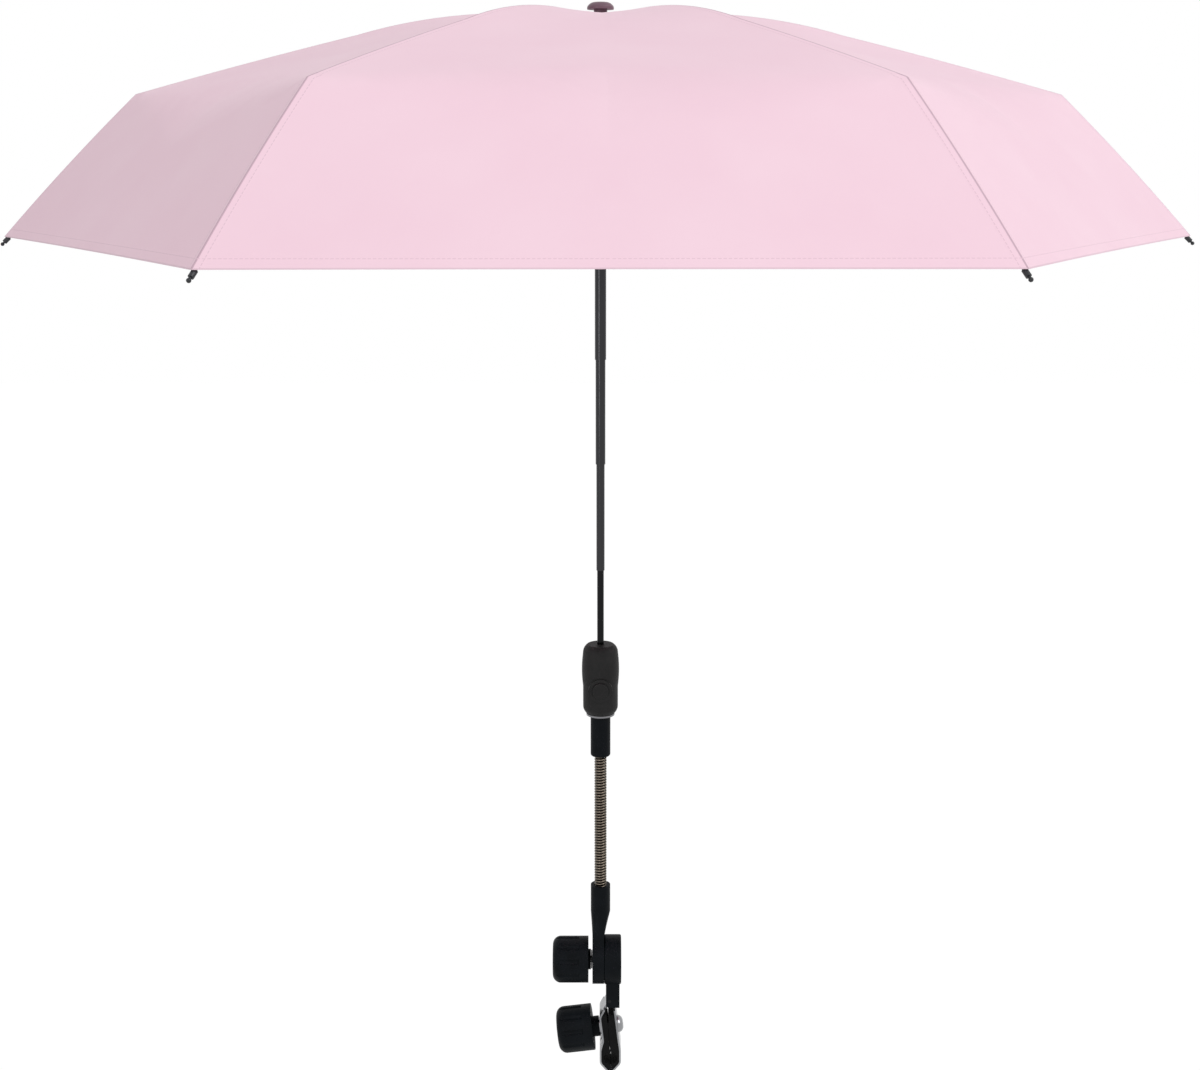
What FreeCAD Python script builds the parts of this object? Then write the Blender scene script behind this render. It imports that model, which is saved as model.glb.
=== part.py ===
import FreeCAD
import Part
import math
import os
from FreeCAD import Placement, Rotation, Vector

# A pram parasol: a folding canopy with six three-piece ribs on a telescopic shaft, carried by a handle,
# a bendable metal hose, a tilting arm and a screw clamp for a pram's tube.
# Millimetres, +Z up, +X to the right and +Y away from the viewer.
# The origin is the centre of the tube that the clamp holds. The shaft stands to the left of it.

# Clearances
PIN_CLEARANCE = 0.05
SLIDE_CLEARANCE = 0.1
SIDE_CLEARANCE = 0.3
SOFT_CLEARANCE = 0.3
SEAT_CLEARANCE = 0.2

# The flat in the middle of a dome, as a share of its radius
FLAT_SHARE = 0.25

# Ribs: lengths are between pivots, slopes in degrees at rest, bows towards the cloth.
# The first rib is turned a little from +X.
RIB_COUNT = 6
RIB_TURN = 0.85
SHAFT_OFFSET = 8.6
CROWN_PIVOT_RADIUS = 12.5
INNER_RIB_LENGTH = 176.0
INNER_RIB_SLOPE = -4.0
INNER_RIB_BOW = 9.2
INNER_RIB_WIDTH = 2.6
INNER_RIB_HEIGHT = 3.0
MIDDLE_RIB_LENGTH = 178.0
MIDDLE_RIB_SLOPE = -14.4
MIDDLE_RIB_BOW = 0.8
MIDDLE_RIB_HEIGHT = 3.6
OUTER_RIB_LENGTH = 160.2
OUTER_RIB_SLOPE = -43.26
OUTER_ROD_RADIUS = 1.1
RIB_WALL = 0.6
EYE_WALL = 0.8
RIVET_RADIUS = 0.8
FORK_LENGTH = 25.0
ELBOW_DROP = 3.8
ELBOW_BRACKET = 9.0
SOLID_END = 8.0
TIP_LENGTH = 9.0
TIP_SLEEVE_LENGTH = 4.5
TIP_SLEEVE_RADIUS = 1.9
TIP_BALL_RADIUS = 1.5
TIP_NECK_RADIUS = 0.9

# Stays between the runner and the inner ribs
STAY_REACH = 100.0
STAY_DROP = 4.4
STAY_HEIGHT = 2.4
STAY_LUG_WIDTH = 1.2
STAY_TONGUE_WIDTH = 1.4
STAY_TONGUE_LENGTH = 10.0
STAY_FORK_LENGTH = 6.0
RUNNER_PIVOT_RADIUS = 9.5
RUNNER_DROP = 45.0

# Crown and runner
NOTCH_RADIUS = 15.0
NOTCH_RISE = 1.9
NOTCH_DEPTH = 3.4
NOTCH_SLOT_FLOOR = 9.6
NOTCH_WIRE_RADIUS = 0.6
CAP_RADIUS = 10.4
CAP_HEIGHT = 11.5
CAP_BRIM = 5.2
CAP_NECK_RADIUS = 5.2
CAP_FOOT_RADIUS = 8.0
CAP_FOOT_HEIGHT = 1.4
CAP_STEM_LENGTH = 20.0
RUNNER_FLANGE_RADIUS = 12.0
RUNNER_FLANGE_HEIGHT = 8.0
RUNNER_SLEEVE_RADIUS = 7.2
RUNNER_SLEEVE_LENGTH = 28.0
RUNNER_GRIP_RADIUS = 9.5
RUNNER_GRIP_HEIGHT = 3.0

# Cloth
CLOTH_THICKNESS = 0.8
CLOTH_CLEARANCE = 1.3
CLOTH_HOLE_RADIUS = 6.0
CLOTH_SAG = 6.0
CROWN_SHARE = 0.12
CLOTH_BULGE = 1.5
HEM_RECESS = 3.0

# Telescopic shaft, outermost tube first: what shows of each tube, and what stays inside the next
TUBE_RADIUS = 4.6
TUBE_WALL = 0.5
TUBE_1_LENGTH = 261.6
TUBE_2_LENGTH = 85.9
TUBE_3_LENGTH = 89.5
TUBE_4_LENGTH = 63.9
TUBE_OVERLAP = 30.0

# Handle with its push button
HANDLE_LENGTH = 61.7
HANDLE_RADIUS = 15.6
HANDLE_WAIST_RADIUS = 14.7
HANDLE_TOP_RADIUS = 11.0
HANDLE_BOTTOM_RADIUS = 11.5
HANDLE_SHOULDER = 7.0
TUBE_SEAT_DEPTH = 30.0
BUTTON_RISE = 25.5
BUTTON_RADIUS = 7.0
BUTTON_STANDOFF = 18.0
BUTTON_LENGTH = 8.0
BUTTON_TRAVEL = 2.5
BUTTON_POCKET_FLOOR = 4.8
BEZEL_RADIUS = 10.0
BEZEL_STANDOFF = 16.6
BUTTON_SPRING_RADIUS = 4.6
BUTTON_SPRING_WIRE = 0.6
BUTTON_SPRING_TURNS = 3
END_RING_RADIUS = 12.0
END_RING_HEIGHT = 1.6

# Bendable hose: a wound wire over a core, held in two ferrules
FERRULE_RADIUS = 8.4
FERRULE_LENGTH = 36.6
FERRULE_SPIGOT_RADIUS = 4.8
FERRULE_SPIGOT_LENGTH = 12.0
FERRULE_ROUND = 1.6
HOSE_LENGTH = 117.9
HOSE_RADIUS = 5.3
HOSE_WIRE = 1.8
HOSE_PITCH = 2.4
HOSE_CORE_RADIUS = 3.2
HOSE_SOCKET_DEPTH = 14.0
HOSE_INSERT = 10.0
SOCKET_LIP = 3.0
SOCKET_ROOM = 1.2

# Tilting arm and its head
TILT_HEIGHT = 88.0
ARM_LENGTH = 70.4
LUG_RADIUS = 21.0
LUG_LEFT = -15.6
LUG_THICKNESS = 10.0
NECK_WIDTH = 24.0
NECK_CLEARANCE = 2.3
SLEEVE_LENGTH = 24.4
HEAD_RADIUS = 21.3
HEAD_RIGHT = 9.4
HEAD_ROUND = 1.5
STEM_LEFT = -3.8
STEM_RIGHT = 8.0
STEM_WIDTH = 25.0
STEM_BOTTOM = 47.9
STEM_ROUND = 2.5
TILT_BOLT_RADIUS = 3.0
TILT_BOLT_HEAD_FLATS = 10.0
TILT_BOLT_HEAD_HEIGHT = 4.0
TILT_WASHER_RADIUS = 8.0
WASHER_THICKNESS = 1.0

# Knobs
KNOB_RADIUS = 20.0
KNOB_LENGTH = 31.0
KNOB_SKIRT = 8.0
KNOB_ROUND = 7.0
KNOB_COLLAR_RADIUS = 8.8
TILT_KNOB_COLLAR = 2.2
CLAMP_KNOB_COLLAR = 6.0
KNOB_FLUTES = 10
KNOB_FLUTE_RADIUS = 3.0
KNOB_FLUTE_DEPTH = 1.1
KNOB_BORE_DEPTH = 26.0

# Screw clamp
BORE_RADIUS = 6.0
JAW_WIDTH = 26.0
JAW_TONGUE_WIDTH = 18.0
JAW_PLATE = 1.4
JAW_LEAN = 7.0
JAW_SPLIT_LEAN = 3.5
BULB_HALF_WIDTH = 8.6
BULB_TOP = 7.0
BULB_BOTTOM = -5.0
JAW_TIP = -14.0
JAW_TIP_GAP = 1.0
PAD_TOP = 41.0
PAD_BOTTOM = -12.0
PAD_SLOT_TOP_GAP = 1.5
PAD_SLOT_BOTTOM = 34.0
FIXED_JAW_X = 3.6
FIXED_JAW_TOP = 64.0
FIXED_JAW_BEND = 46.0
JAW_LOWER_BEND = 16.0
JAW_PIN_X = -0.8
JAW_PIN_HEIGHT = 54.0
JAW_PIN_RADIUS = 1.5
JAW_KNUCKLE_WALL = 1.4
MOVING_JAW_X = -9.0
MOVING_JAW_BEND = 38.5
FORK_POCKET_TOP = 59.0
CLAMP_BOLT_HEIGHT = 25.5
CLAMP_BOLT_RADIUS = 3.0
CLAMP_BOLT_HOLE = 3.4
CLAMP_BOLT_HEAD_RADIUS = 7.6
CLAMP_BOLT_HEAD_HEIGHT = 4.5
CLAMP_SLOT_DOWN = 11.5
CLAMP_SLOT_UP = 0.8
CLAMP_WASHER_RADIUS = 7.5

# Values that follow from the sizes above
SHAFT_X = -SHAFT_OFFSET
UP = Vector(0, 0, 1)
ACROSS = Vector(0, 1, 0)
HOSE_BOTTOM = TILT_HEIGHT + ARM_LENGTH
FERRULE_BOTTOM = HOSE_BOTTOM + HOSE_LENGTH
HANDLE_BOTTOM = FERRULE_BOTTOM + FERRULE_LENGTH
HANDLE_TOP = HANDLE_BOTTOM + HANDLE_LENGTH
BUTTON_HEIGHT = HANDLE_BOTTOM + BUTTON_RISE
TUBE_3_END = HANDLE_TOP + TUBE_4_LENGTH
TUBE_2_END = TUBE_3_END + TUBE_3_LENGTH
TUBE_1_END = TUBE_2_END + TUBE_2_LENGTH
TUBE_ENDS = (TUBE_1_END, TUBE_2_END, TUBE_3_END)
CROWN_PIVOT_HEIGHT = TUBE_1_END + TUBE_1_LENGTH
EYE_RADIUS = RIVET_RADIUS + EYE_WALL
MIDDLE_GAP = INNER_RIB_WIDTH + 2 * SIDE_CLEARANCE
MIDDLE_RIB_WIDTH = MIDDLE_GAP + 2 * RIB_WALL
STAY_GAP = STAY_LUG_WIDTH + 2 * SIDE_CLEARANCE
STAY_WIDTH = STAY_GAP + 2 * RIB_WALL
CLOTH_RISE = MIDDLE_RIB_HEIGHT / 2 + CLOTH_CLEARANCE
HOSE_COIL_RADIUS = HOSE_RADIUS - HOSE_WIRE / 2
LUG_RIGHT = LUG_LEFT + LUG_THICKNESS
HEAD_LEFT = LUG_RIGHT + SEAT_CLEARANCE


def at(x, z):
    return Vector(x, 0, z)


def outline(start, *steps):
    """A closed wire in the XZ plane. A step is an end point, or a via point and an end point of an arc."""
    edges = []
    here = at(*start)
    for step in steps + (start,):
        if isinstance(step[0], tuple):
            end = at(*step[1])
            edges.append(Part.Arc(here, at(*step[0]), end).toShape())
        else:
            end = at(*step)
            edges.append(Part.makeLine(here, end))
        here = end
    return Part.Wire(edges)


def turned(wire):
    """A solid turned about the Z axis."""
    return Part.Face(wire).revolve(Vector(), UP, 360)


def plate(wire, width):
    """A solid of the given width across, from a wire in the XZ plane."""
    face = Part.Face(wire)
    face.translate(Vector(0, -width / 2, 0))
    return face.extrude(Vector(0, width, 0))


def rod_across(point, radius, width):
    return Part.makeCylinder(radius, width, Vector(point.x, -width / 2, point.z), ACROSS)


def on_shaft(shape):
    return shape.translated(Vector(SHAFT_X, 0, 0))


def tube(outer, inner, bottom, top):
    shell = Part.makeCylinder(outer, top - bottom, at(0, bottom))
    return shell.cut(Part.makeCylinder(inner, top - bottom, at(0, bottom)))


class Beam:
    """A rib segment in the plane of its spoke: a chord from a start point, bowed towards the cloth."""

    def __init__(self, start, slope, length, bow):
        self.start = start
        self.along = at(math.cos(math.radians(slope)), math.sin(math.radians(slope)))
        self.normal = at(-self.along.z, self.along.x)
        self.length = length
        self.radius = (length ** 2 / 4 + bow ** 2) / (2 * bow) if bow else 0
        self.bow = bow

    def point(self, distance, rise=0.0):
        """The point at a distance along the chord, raised from the centre line."""
        if not self.bow:
            return self.start + self.along * distance + self.normal * rise
        half = math.asin(self.length / 2 / self.radius)
        turn = half * (1 - 2 * distance / self.length)
        reach = self.radius + rise
        forward = self.length / 2 - reach * math.sin(turn)
        lift = self.bow - self.radius + reach * math.cos(turn)
        return self.start + self.along * forward + self.normal * lift

    def band(self, first, last, low, high, width):
        """The stretch of the beam between two distances and two rises."""
        upper = self.run(first, last, high)
        lower = self.run(first, last, low)
        ends = [Part.makeLine(self.point(d, low), self.point(d, high)) for d in (first, last)]
        return plate(Part.Wire([upper, ends[1], lower, ends[0]]), width)

    def run(self, first, last, rise):
        if not self.bow:
            return Part.makeLine(self.point(first, rise), self.point(last, rise))
        middle = self.point((first + last) / 2, rise)
        return Part.Arc(self.point(first, rise), middle, self.point(last, rise)).toShape()


CROWN_PIVOT = at(CROWN_PIVOT_RADIUS, CROWN_PIVOT_HEIGHT)
INNER = Beam(CROWN_PIVOT, INNER_RIB_SLOPE, INNER_RIB_LENGTH, INNER_RIB_BOW)
KNEE = INNER.point(INNER_RIB_LENGTH)
MIDDLE = Beam(KNEE, MIDDLE_RIB_SLOPE, MIDDLE_RIB_LENGTH, MIDDLE_RIB_BOW)
ELBOW = MIDDLE.point(MIDDLE_RIB_LENGTH, -ELBOW_DROP)
OUTER = Beam(ELBOW, OUTER_RIB_SLOPE, OUTER_RIB_LENGTH, 0)
STAY_PIVOT = INNER.point(STAY_REACH, -STAY_DROP)
RUNNER_PIVOT = at(RUNNER_PIVOT_RADIUS, CROWN_PIVOT_HEIGHT - RUNNER_DROP)
STAY_LENGTH = STAY_PIVOT.distanceToPoint(RUNNER_PIVOT)
STAY_SLOPE = math.degrees(math.atan2(RUNNER_PIVOT.z - STAY_PIVOT.z, RUNNER_PIVOT.x - STAY_PIVOT.x))
STAY = Beam(STAY_PIVOT, STAY_SLOPE, STAY_LENGTH, 0)


def inner_rib():
    """An inverted channel with an eye at each end and the lug that the stay is riveted to."""
    half = INNER_RIB_HEIGHT / 2
    rib = INNER.band(0, INNER_RIB_LENGTH, -half, half, INNER_RIB_WIDTH)
    groove_width = INNER_RIB_WIDTH - 2 * RIB_WALL
    for first, last in ((SOLID_END, STAY_REACH - SOLID_END),
                        (STAY_REACH + SOLID_END, INNER_RIB_LENGTH - SOLID_END)):
        rib = rib.cut(INNER.band(first, last, -INNER_RIB_HEIGHT, half - RIB_WALL, groove_width))
    for eye in (CROWN_PIVOT, KNEE):
        rib = rib.fuse(rod_across(eye, EYE_RADIUS, INNER_RIB_WIDTH))
    lug = INNER.band(STAY_REACH - RIVET_RADIUS * 1.5, STAY_REACH + RIVET_RADIUS * 1.5, -STAY_DROP, 0,
                     STAY_LUG_WIDTH)
    rib = rib.fuse([lug, rod_across(STAY_PIVOT, EYE_RADIUS, STAY_LUG_WIDTH)])
    hole = RIVET_RADIUS + PIN_CLEARANCE
    rib = rib.cut(rod_across(CROWN_PIVOT, NOTCH_WIRE_RADIUS + SIDE_CLEARANCE, INNER_RIB_WIDTH))
    rib = rib.cut(rod_across(KNEE, hole, INNER_RIB_WIDTH))
    return rib.cut(rod_across(STAY_PIVOT, hole, INNER_RIB_WIDTH))


def middle_rib():
    """A channel, open towards the cloth, that the inner rib folds into, with a rivet at each end."""
    half = MIDDLE_RIB_HEIGHT / 2
    end = MIDDLE_RIB_LENGTH
    rib = MIDDLE.band(0, end, -half, half, MIDDLE_RIB_WIDTH)
    rib = rib.cut(MIDDLE.band(-half, end + half, RIB_WALL - half, half * 2, MIDDLE_GAP))
    rib = rib.cut(MIDDLE.band(-half, FORK_LENGTH, -half * 2, half * 2, MIDDLE_GAP))
    bracket = MIDDLE.band(end - ELBOW_BRACKET, end - RIB_WALL, -ELBOW_DROP, 0, RIB_WALL)
    eyes = [rod_across(pivot, EYE_RADIUS, RIB_WALL) for pivot in (KNEE, ELBOW)]
    offset = (MIDDLE_GAP + RIB_WALL) / 2
    ears = [shape.translated(ACROSS * side) for side in (-offset, offset) for shape in eyes + [bracket]]
    rivets = [rod_across(pivot, RIVET_RADIUS, MIDDLE_RIB_WIDTH) for pivot in (KNEE, ELBOW)]
    return rib.fuse(ears + rivets).removeSplitter()


def outer_rib():
    """A round rod with a riveted eye."""
    width = 2 * OUTER_ROD_RADIUS
    length = OUTER_RIB_LENGTH - TIP_LENGTH + TIP_SLEEVE_LENGTH
    rod = Part.makeCylinder(OUTER_ROD_RADIUS, length, ELBOW, OUTER.along)
    rod = rod.fuse(rod_across(ELBOW, EYE_RADIUS, width))
    return rod.cut(rod_across(ELBOW, RIVET_RADIUS + PIN_CLEARANCE, width))


def rib_tip():
    """The end piece that the cloth's corner is sewn to: a sleeve, a neck and a ball."""
    sleeve_start = OUTER.point(OUTER_RIB_LENGTH - TIP_LENGTH)
    ball = OUTER.point(OUTER_RIB_LENGTH - TIP_BALL_RADIUS)
    sleeve_length = TIP_SLEEVE_LENGTH + RIB_WALL
    sleeve = Part.makeCylinder(TIP_SLEEVE_RADIUS, sleeve_length, sleeve_start, OUTER.along)
    neck_length = TIP_LENGTH - TIP_BALL_RADIUS
    neck = Part.makeCylinder(TIP_NECK_RADIUS, neck_length, sleeve_start, OUTER.along)
    tip = sleeve.fuse([neck, Part.makeSphere(TIP_BALL_RADIUS, ball)])
    socket = OUTER_ROD_RADIUS + PIN_CLEARANCE
    return tip.cut(Part.makeCylinder(socket, TIP_SLEEVE_LENGTH, sleeve_start, OUTER.along))


def stay():
    """A channel from the inner rib's lug to a flat tongue in the runner."""
    half = STAY_HEIGHT / 2
    tongue_start = STAY_LENGTH - STAY_TONGUE_LENGTH
    # The beam runs inwards, so its rises are negative towards the cloth
    bar = STAY.band(0, tongue_start, -half, half, STAY_WIDTH)
    bar = bar.fuse(rod_across(STAY_PIVOT, half, STAY_WIDTH))
    bar = bar.cut(STAY.band(-STAY_HEIGHT, tongue_start - STAY_FORK_LENGTH, -STAY_HEIGHT,
                            half - RIB_WALL, STAY_GAP))
    bar = bar.cut(STAY.band(-STAY_HEIGHT, STAY_FORK_LENGTH, -STAY_HEIGHT, STAY_HEIGHT, STAY_GAP))
    tongue = STAY.band(tongue_start - STAY_FORK_LENGTH, STAY_LENGTH, -half, half, STAY_TONGUE_WIDTH)
    eye = rod_across(RUNNER_PIVOT, EYE_RADIUS, STAY_TONGUE_WIDTH)
    bar = bar.fuse([tongue, eye, rod_across(STAY_PIVOT, RIVET_RADIUS, STAY_WIDTH)])
    return bar.cut(rod_across(RUNNER_PIVOT, RIVET_RADIUS, STAY_TONGUE_WIDTH))


def spoke_turn(number):
    """How far a rib is turned about the shaft from +X, in degrees."""
    return RIB_TURN + 360 / RIB_COUNT * number


def round_shaft(shape):
    """Copies of a piece in the directions of the ribs."""
    return [shape.rotated(Vector(), UP, spoke_turn(i)) for i in range(RIB_COUNT)]


def spokes(shape):
    """The copies of a piece round the shaft, in its place."""
    return [on_shaft(copy) for copy in round_shaft(shape)]


def slotted(shape, slot_width, floor, reach):
    """Radial slots for the ribs or stays, open above, below and outwards."""
    box = shape.BoundBox
    slot = Part.makeBox(reach - floor, slot_width, box.ZLength, Vector(floor, -slot_width / 2, box.ZMin))
    return shape.cut(round_shaft(slot))


def notch_wire():
    return Part.makeTorus(CROWN_PIVOT_RADIUS, NOTCH_WIRE_RADIUS, at(0, CROWN_PIVOT_HEIGHT))


def top_notch():
    """The slotted crown that the inner ribs hang in, threaded on a wire ring."""
    bottom = CROWN_PIVOT_HEIGHT - NOTCH_DEPTH
    body = Part.makeCylinder(NOTCH_RADIUS, NOTCH_DEPTH + NOTCH_RISE, at(0, bottom))
    body = slotted(body, INNER_RIB_WIDTH + 2 * SIDE_CLEARANCE, NOTCH_SLOT_FLOOR, NOTCH_RADIUS * 2)
    groove = Part.makeTorus(CROWN_PIVOT_RADIUS, NOTCH_WIRE_RADIUS + PIN_CLEARANCE,
                            at(0, CROWN_PIVOT_HEIGHT))
    bore = Part.makeCylinder(TUBE_RADIUS + PIN_CLEARANCE, NOTCH_DEPTH + NOTCH_RISE, at(0, bottom))
    return body.cut([groove, bore])


def crown_cap():
    """A domed button on a foot over the cloth, with a stem down the top tube."""
    seat = CROWN_PIVOT_HEIGHT + CLOTH_RISE + CLOTH_THICKNESS + SOFT_CLEARANCE
    foot = seat + CAP_FOOT_HEIGHT
    top = seat + CAP_HEIGHT
    brim = top - CAP_BRIM
    shoulder = (CAP_RADIUS * 0.8, top - CAP_BRIM * 0.2)
    stem = TUBE_RADIUS - TUBE_WALL - PIN_CLEARANCE
    return turned(outline((0, seat - CAP_STEM_LENGTH), (stem, seat - CAP_STEM_LENGTH), (stem, seat),
                          (CAP_FOOT_RADIUS, seat), (CAP_FOOT_RADIUS, foot),
                          (CAP_NECK_RADIUS, foot), (CAP_NECK_RADIUS, brim),
                          (CAP_RADIUS, brim), (CAP_RADIUS, brim + CAP_BRIM / 3),
                          (shoulder, (CAP_RADIUS * FLAT_SHARE, top)), (0, top)))


def runner():
    """The sliding collar: a slotted flange for the stays, a sleeve and a finger grip."""
    middle = RUNNER_PIVOT.z
    flange_bottom = middle - RUNNER_FLANGE_HEIGHT / 2
    flange = Part.makeCylinder(RUNNER_FLANGE_RADIUS, RUNNER_FLANGE_HEIGHT, at(0, flange_bottom))
    floor = RUNNER_PIVOT_RADIUS - EYE_RADIUS - SIDE_CLEARANCE
    flange = slotted(flange, STAY_TONGUE_WIDTH + 2 * SIDE_CLEARANCE, floor, RUNNER_FLANGE_RADIUS * 2)
    top = flange_bottom + RUNNER_FLANGE_HEIGHT
    sleeve = Part.makeCylinder(RUNNER_SLEEVE_RADIUS, RUNNER_SLEEVE_LENGTH,
                               at(0, top - RUNNER_SLEEVE_LENGTH))
    grip = Part.makeCylinder(RUNNER_GRIP_RADIUS, RUNNER_GRIP_HEIGHT, at(0, top - RUNNER_SLEEVE_LENGTH))
    body = flange.fuse([sleeve, grip])
    bore = Part.makeCylinder(TUBE_RADIUS + SLIDE_CLEARANCE, RUNNER_SLEEVE_LENGTH,
                             at(0, top - RUNNER_SLEEVE_LENGTH))
    return body.cut(bore)


def cloth_line(rise):
    """Where the cloth crosses each level of a rib, from the crown's hole to the corner."""
    line = [at(CLOTH_HOLE_RADIUS, CROWN_PIVOT_HEIGHT + rise)]
    line += [INNER.point(INNER_RIB_LENGTH * share, rise) for share in (0, 0.2, 0.4, 0.6, 0.8, 1)]
    line += [MIDDLE.point(MIDDLE_RIB_LENGTH * share, rise) for share in (0.33, 0.67)]
    line += [MIDDLE.point(MIDDLE_RIB_LENGTH + EYE_RADIUS, rise)]
    sleeve = OUTER_RIB_LENGTH - TIP_LENGTH + TIP_SLEEVE_LENGTH / 2
    corner = OUTER.point(sleeve, TIP_SLEEVE_RADIUS + rise - CLOTH_RISE + 2 * SOFT_CLEARANCE)
    half_way = (line[-1] + corner) * 0.5 + OUTER.normal * CLOTH_BULGE
    return line + [half_way, corner]


def canopy():
    """The sewn cloth: six gores stretched between the ribs, drawn in at the middle of each hem."""
    upper = cloth_line(CLOTH_RISE + CLOTH_THICKNESS)
    under = cloth_line(CLOTH_RISE)
    rim = upper[-1].x
    half_turn = math.pi / RIB_COUNT

    def gore_arc(point, gore):
        share = point.x / rim
        recess = HEM_RECESS * share ** 3
        sag = CLOTH_SAG * 4 * share * max(1 - share, 0) * min(share / CROWN_SHARE, 1)
        inset = at(point.x * math.cos(half_turn) - recess, point.z - sag)
        ends = [Rotation(UP, spoke_turn(gore + k)).multVec(point) for k in (0, 1)]
        via = Rotation(UP, spoke_turn(gore + 0.5)).multVec(inset)
        return Part.Arc(ends[0], via, ends[1]).toShape()

    ring = upper + under[::-1]
    faces = []
    for gore in range(RIB_COUNT):
        arcs = [gore_arc(point, gore) for point in ring]
        faces += [Part.makeRuledSurface(a, b) for a, b in zip(arcs, arcs[1:] + arcs[:1])]
    shell = Part.makeShell(faces)
    shell.sewShape()
    solid = Part.makeSolid(shell)
    if solid.Volume < 0:
        solid.reverse()
    return solid


def shaft_tubes():
    """The telescopic tubes, outermost first. The innermost is seated in the handle."""
    step = TUBE_WALL + SLIDE_CLEARANCE
    ends = TUBE_ENDS + (HANDLE_TOP - TUBE_SEAT_DEPTH,)
    tops = (CROWN_PIVOT_HEIGHT + NOTCH_RISE,) + tuple(end + TUBE_OVERLAP for end in TUBE_ENDS)
    tubes = []
    for i, (bottom, top) in enumerate(zip(ends, tops)):
        outer = TUBE_RADIUS - i * step
        tubes.append(tube(outer, outer - TUBE_WALL, bottom, top))
    return tubes


def inner_tube_radius():
    return TUBE_RADIUS - len(TUBE_ENDS) * (TUBE_WALL + SLIDE_CLEARANCE)


def button_axis(standoff):
    """A point on the push button's axis, in front of the shaft."""
    return Vector(0, -standoff, BUTTON_HEIGHT)


def swelling(low, high):
    """The point half-way round a rounded edge, an eighth of its chord outwards."""
    (ax, az), (bx, bz) = low, high
    return ((ax + bx) / 2 + (bz - az) / 8, (az + bz) / 2 - (bx - ax) / 8)


def handle():
    """A barrelled grip with a waist, a raised bezel for the button and seats for tube and ferrule."""
    shoulder = HANDLE_TOP - HANDLE_SHOULDER
    heel = HANDLE_BOTTOM + END_RING_HEIGHT
    belly = (HANDLE_TOP + BUTTON_HEIGHT) / 2
    body = turned(outline(
        (0, heel), (HANDLE_BOTTOM_RADIUS, heel),
        (swelling((HANDLE_BOTTOM_RADIUS, heel), (HANDLE_WAIST_RADIUS, heel + HANDLE_SHOULDER)),
         (HANDLE_WAIST_RADIUS, heel + HANDLE_SHOULDER)),
        (HANDLE_WAIST_RADIUS, BUTTON_HEIGHT),
        ((HANDLE_RADIUS, belly), (HANDLE_WAIST_RADIUS, shoulder)),
        (swelling((HANDLE_WAIST_RADIUS, shoulder), (HANDLE_TOP_RADIUS, HANDLE_TOP)),
         (HANDLE_TOP_RADIUS, HANDLE_TOP)),
        (0, HANDLE_TOP)))
    bezel = Part.makeCylinder(BEZEL_RADIUS, BEZEL_STANDOFF, button_axis(0), Vector(0, -1, 0))
    body = body.fuse(bezel)
    pocket_depth = BEZEL_STANDOFF - BUTTON_POCKET_FLOOR
    pocket = Part.makeCylinder(BUTTON_RADIUS + SLIDE_CLEARANCE, pocket_depth,
                               button_axis(BUTTON_POCKET_FLOOR), Vector(0, -1, 0))
    seat = Part.makeCylinder(inner_tube_radius() + PIN_CLEARANCE, TUBE_SEAT_DEPTH,
                             at(0, HANDLE_TOP - TUBE_SEAT_DEPTH))
    spigot_seat = Part.makeCylinder(FERRULE_SPIGOT_RADIUS + PIN_CLEARANCE, FERRULE_SPIGOT_LENGTH,
                                    at(0, HANDLE_BOTTOM))
    return body.cut([pocket, seat, spigot_seat])


def end_ring():
    """The bright ring under the grip."""
    return tube(END_RING_RADIUS, FERRULE_SPIGOT_RADIUS + PIN_CLEARANCE, HANDLE_BOTTOM,
                HANDLE_BOTTOM + END_RING_HEIGHT - PIN_CLEARANCE)


def handle_button():
    """A round button with a domed face."""
    body = Part.makeCylinder(BUTTON_RADIUS, BUTTON_LENGTH, button_axis(BUTTON_STANDOFF - BUTTON_LENGTH),
                             Vector(0, -1, 0))
    face = [edge for edge in body.Edges if abs(edge.CenterOfMass.y + BUTTON_STANDOFF) < PIN_CLEARANCE]
    return body.makeFillet(RIB_WALL * 2, face)


def helix_wire(radius, pitch, turns, lead):
    """A helix about Z from z = 0, in tangent arcs of a quarter turn, with a straight lead at each end."""

    def state(quarter):
        angle = quarter * math.pi / 2
        place = Vector(radius * math.cos(angle), radius * math.sin(angle), pitch * quarter / 4)
        heading = Vector(-radius * math.sin(angle), radius * math.cos(angle), pitch / 2 / math.pi)
        return place, heading.normalize()

    def arc(start, heading, end):
        """The arc from a start point and heading to an end point."""
        chord = end - start
        lean = heading.getAngle(chord)
        side = (chord * heading.dot(chord) / chord.dot(chord) - heading).normalize()
        via = (start + end) * 0.5 - side * (chord.Length / 2 * math.tan(lean / 2))
        return Part.Arc(start, via, end).toShape()

    quarters = turns * 4
    states = [state(quarter) for quarter in range(quarters + 1)]
    first, heading = states[0]
    edges = [Part.makeLine(first - heading * lead, first)]
    for (start, out), (end, into) in zip(states, states[1:]):
        chord = end - start
        total = out + into
        spread = 2 * (1 - out.dot(into))
        root = math.sqrt(chord.dot(total) ** 2 + spread * chord.dot(chord))
        reach = (root - chord.dot(total)) / spread
        knot = (start + out * reach + end - into * reach) * 0.5
        edges.append(arc(start, out, knot))
        edges.append(arc(knot, (end - into * reach - start - out * reach).normalize(), end))
    last, heading = states[-1]
    edges.append(Part.makeLine(last, last + heading * lead))
    return Part.Wire(edges)


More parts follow.
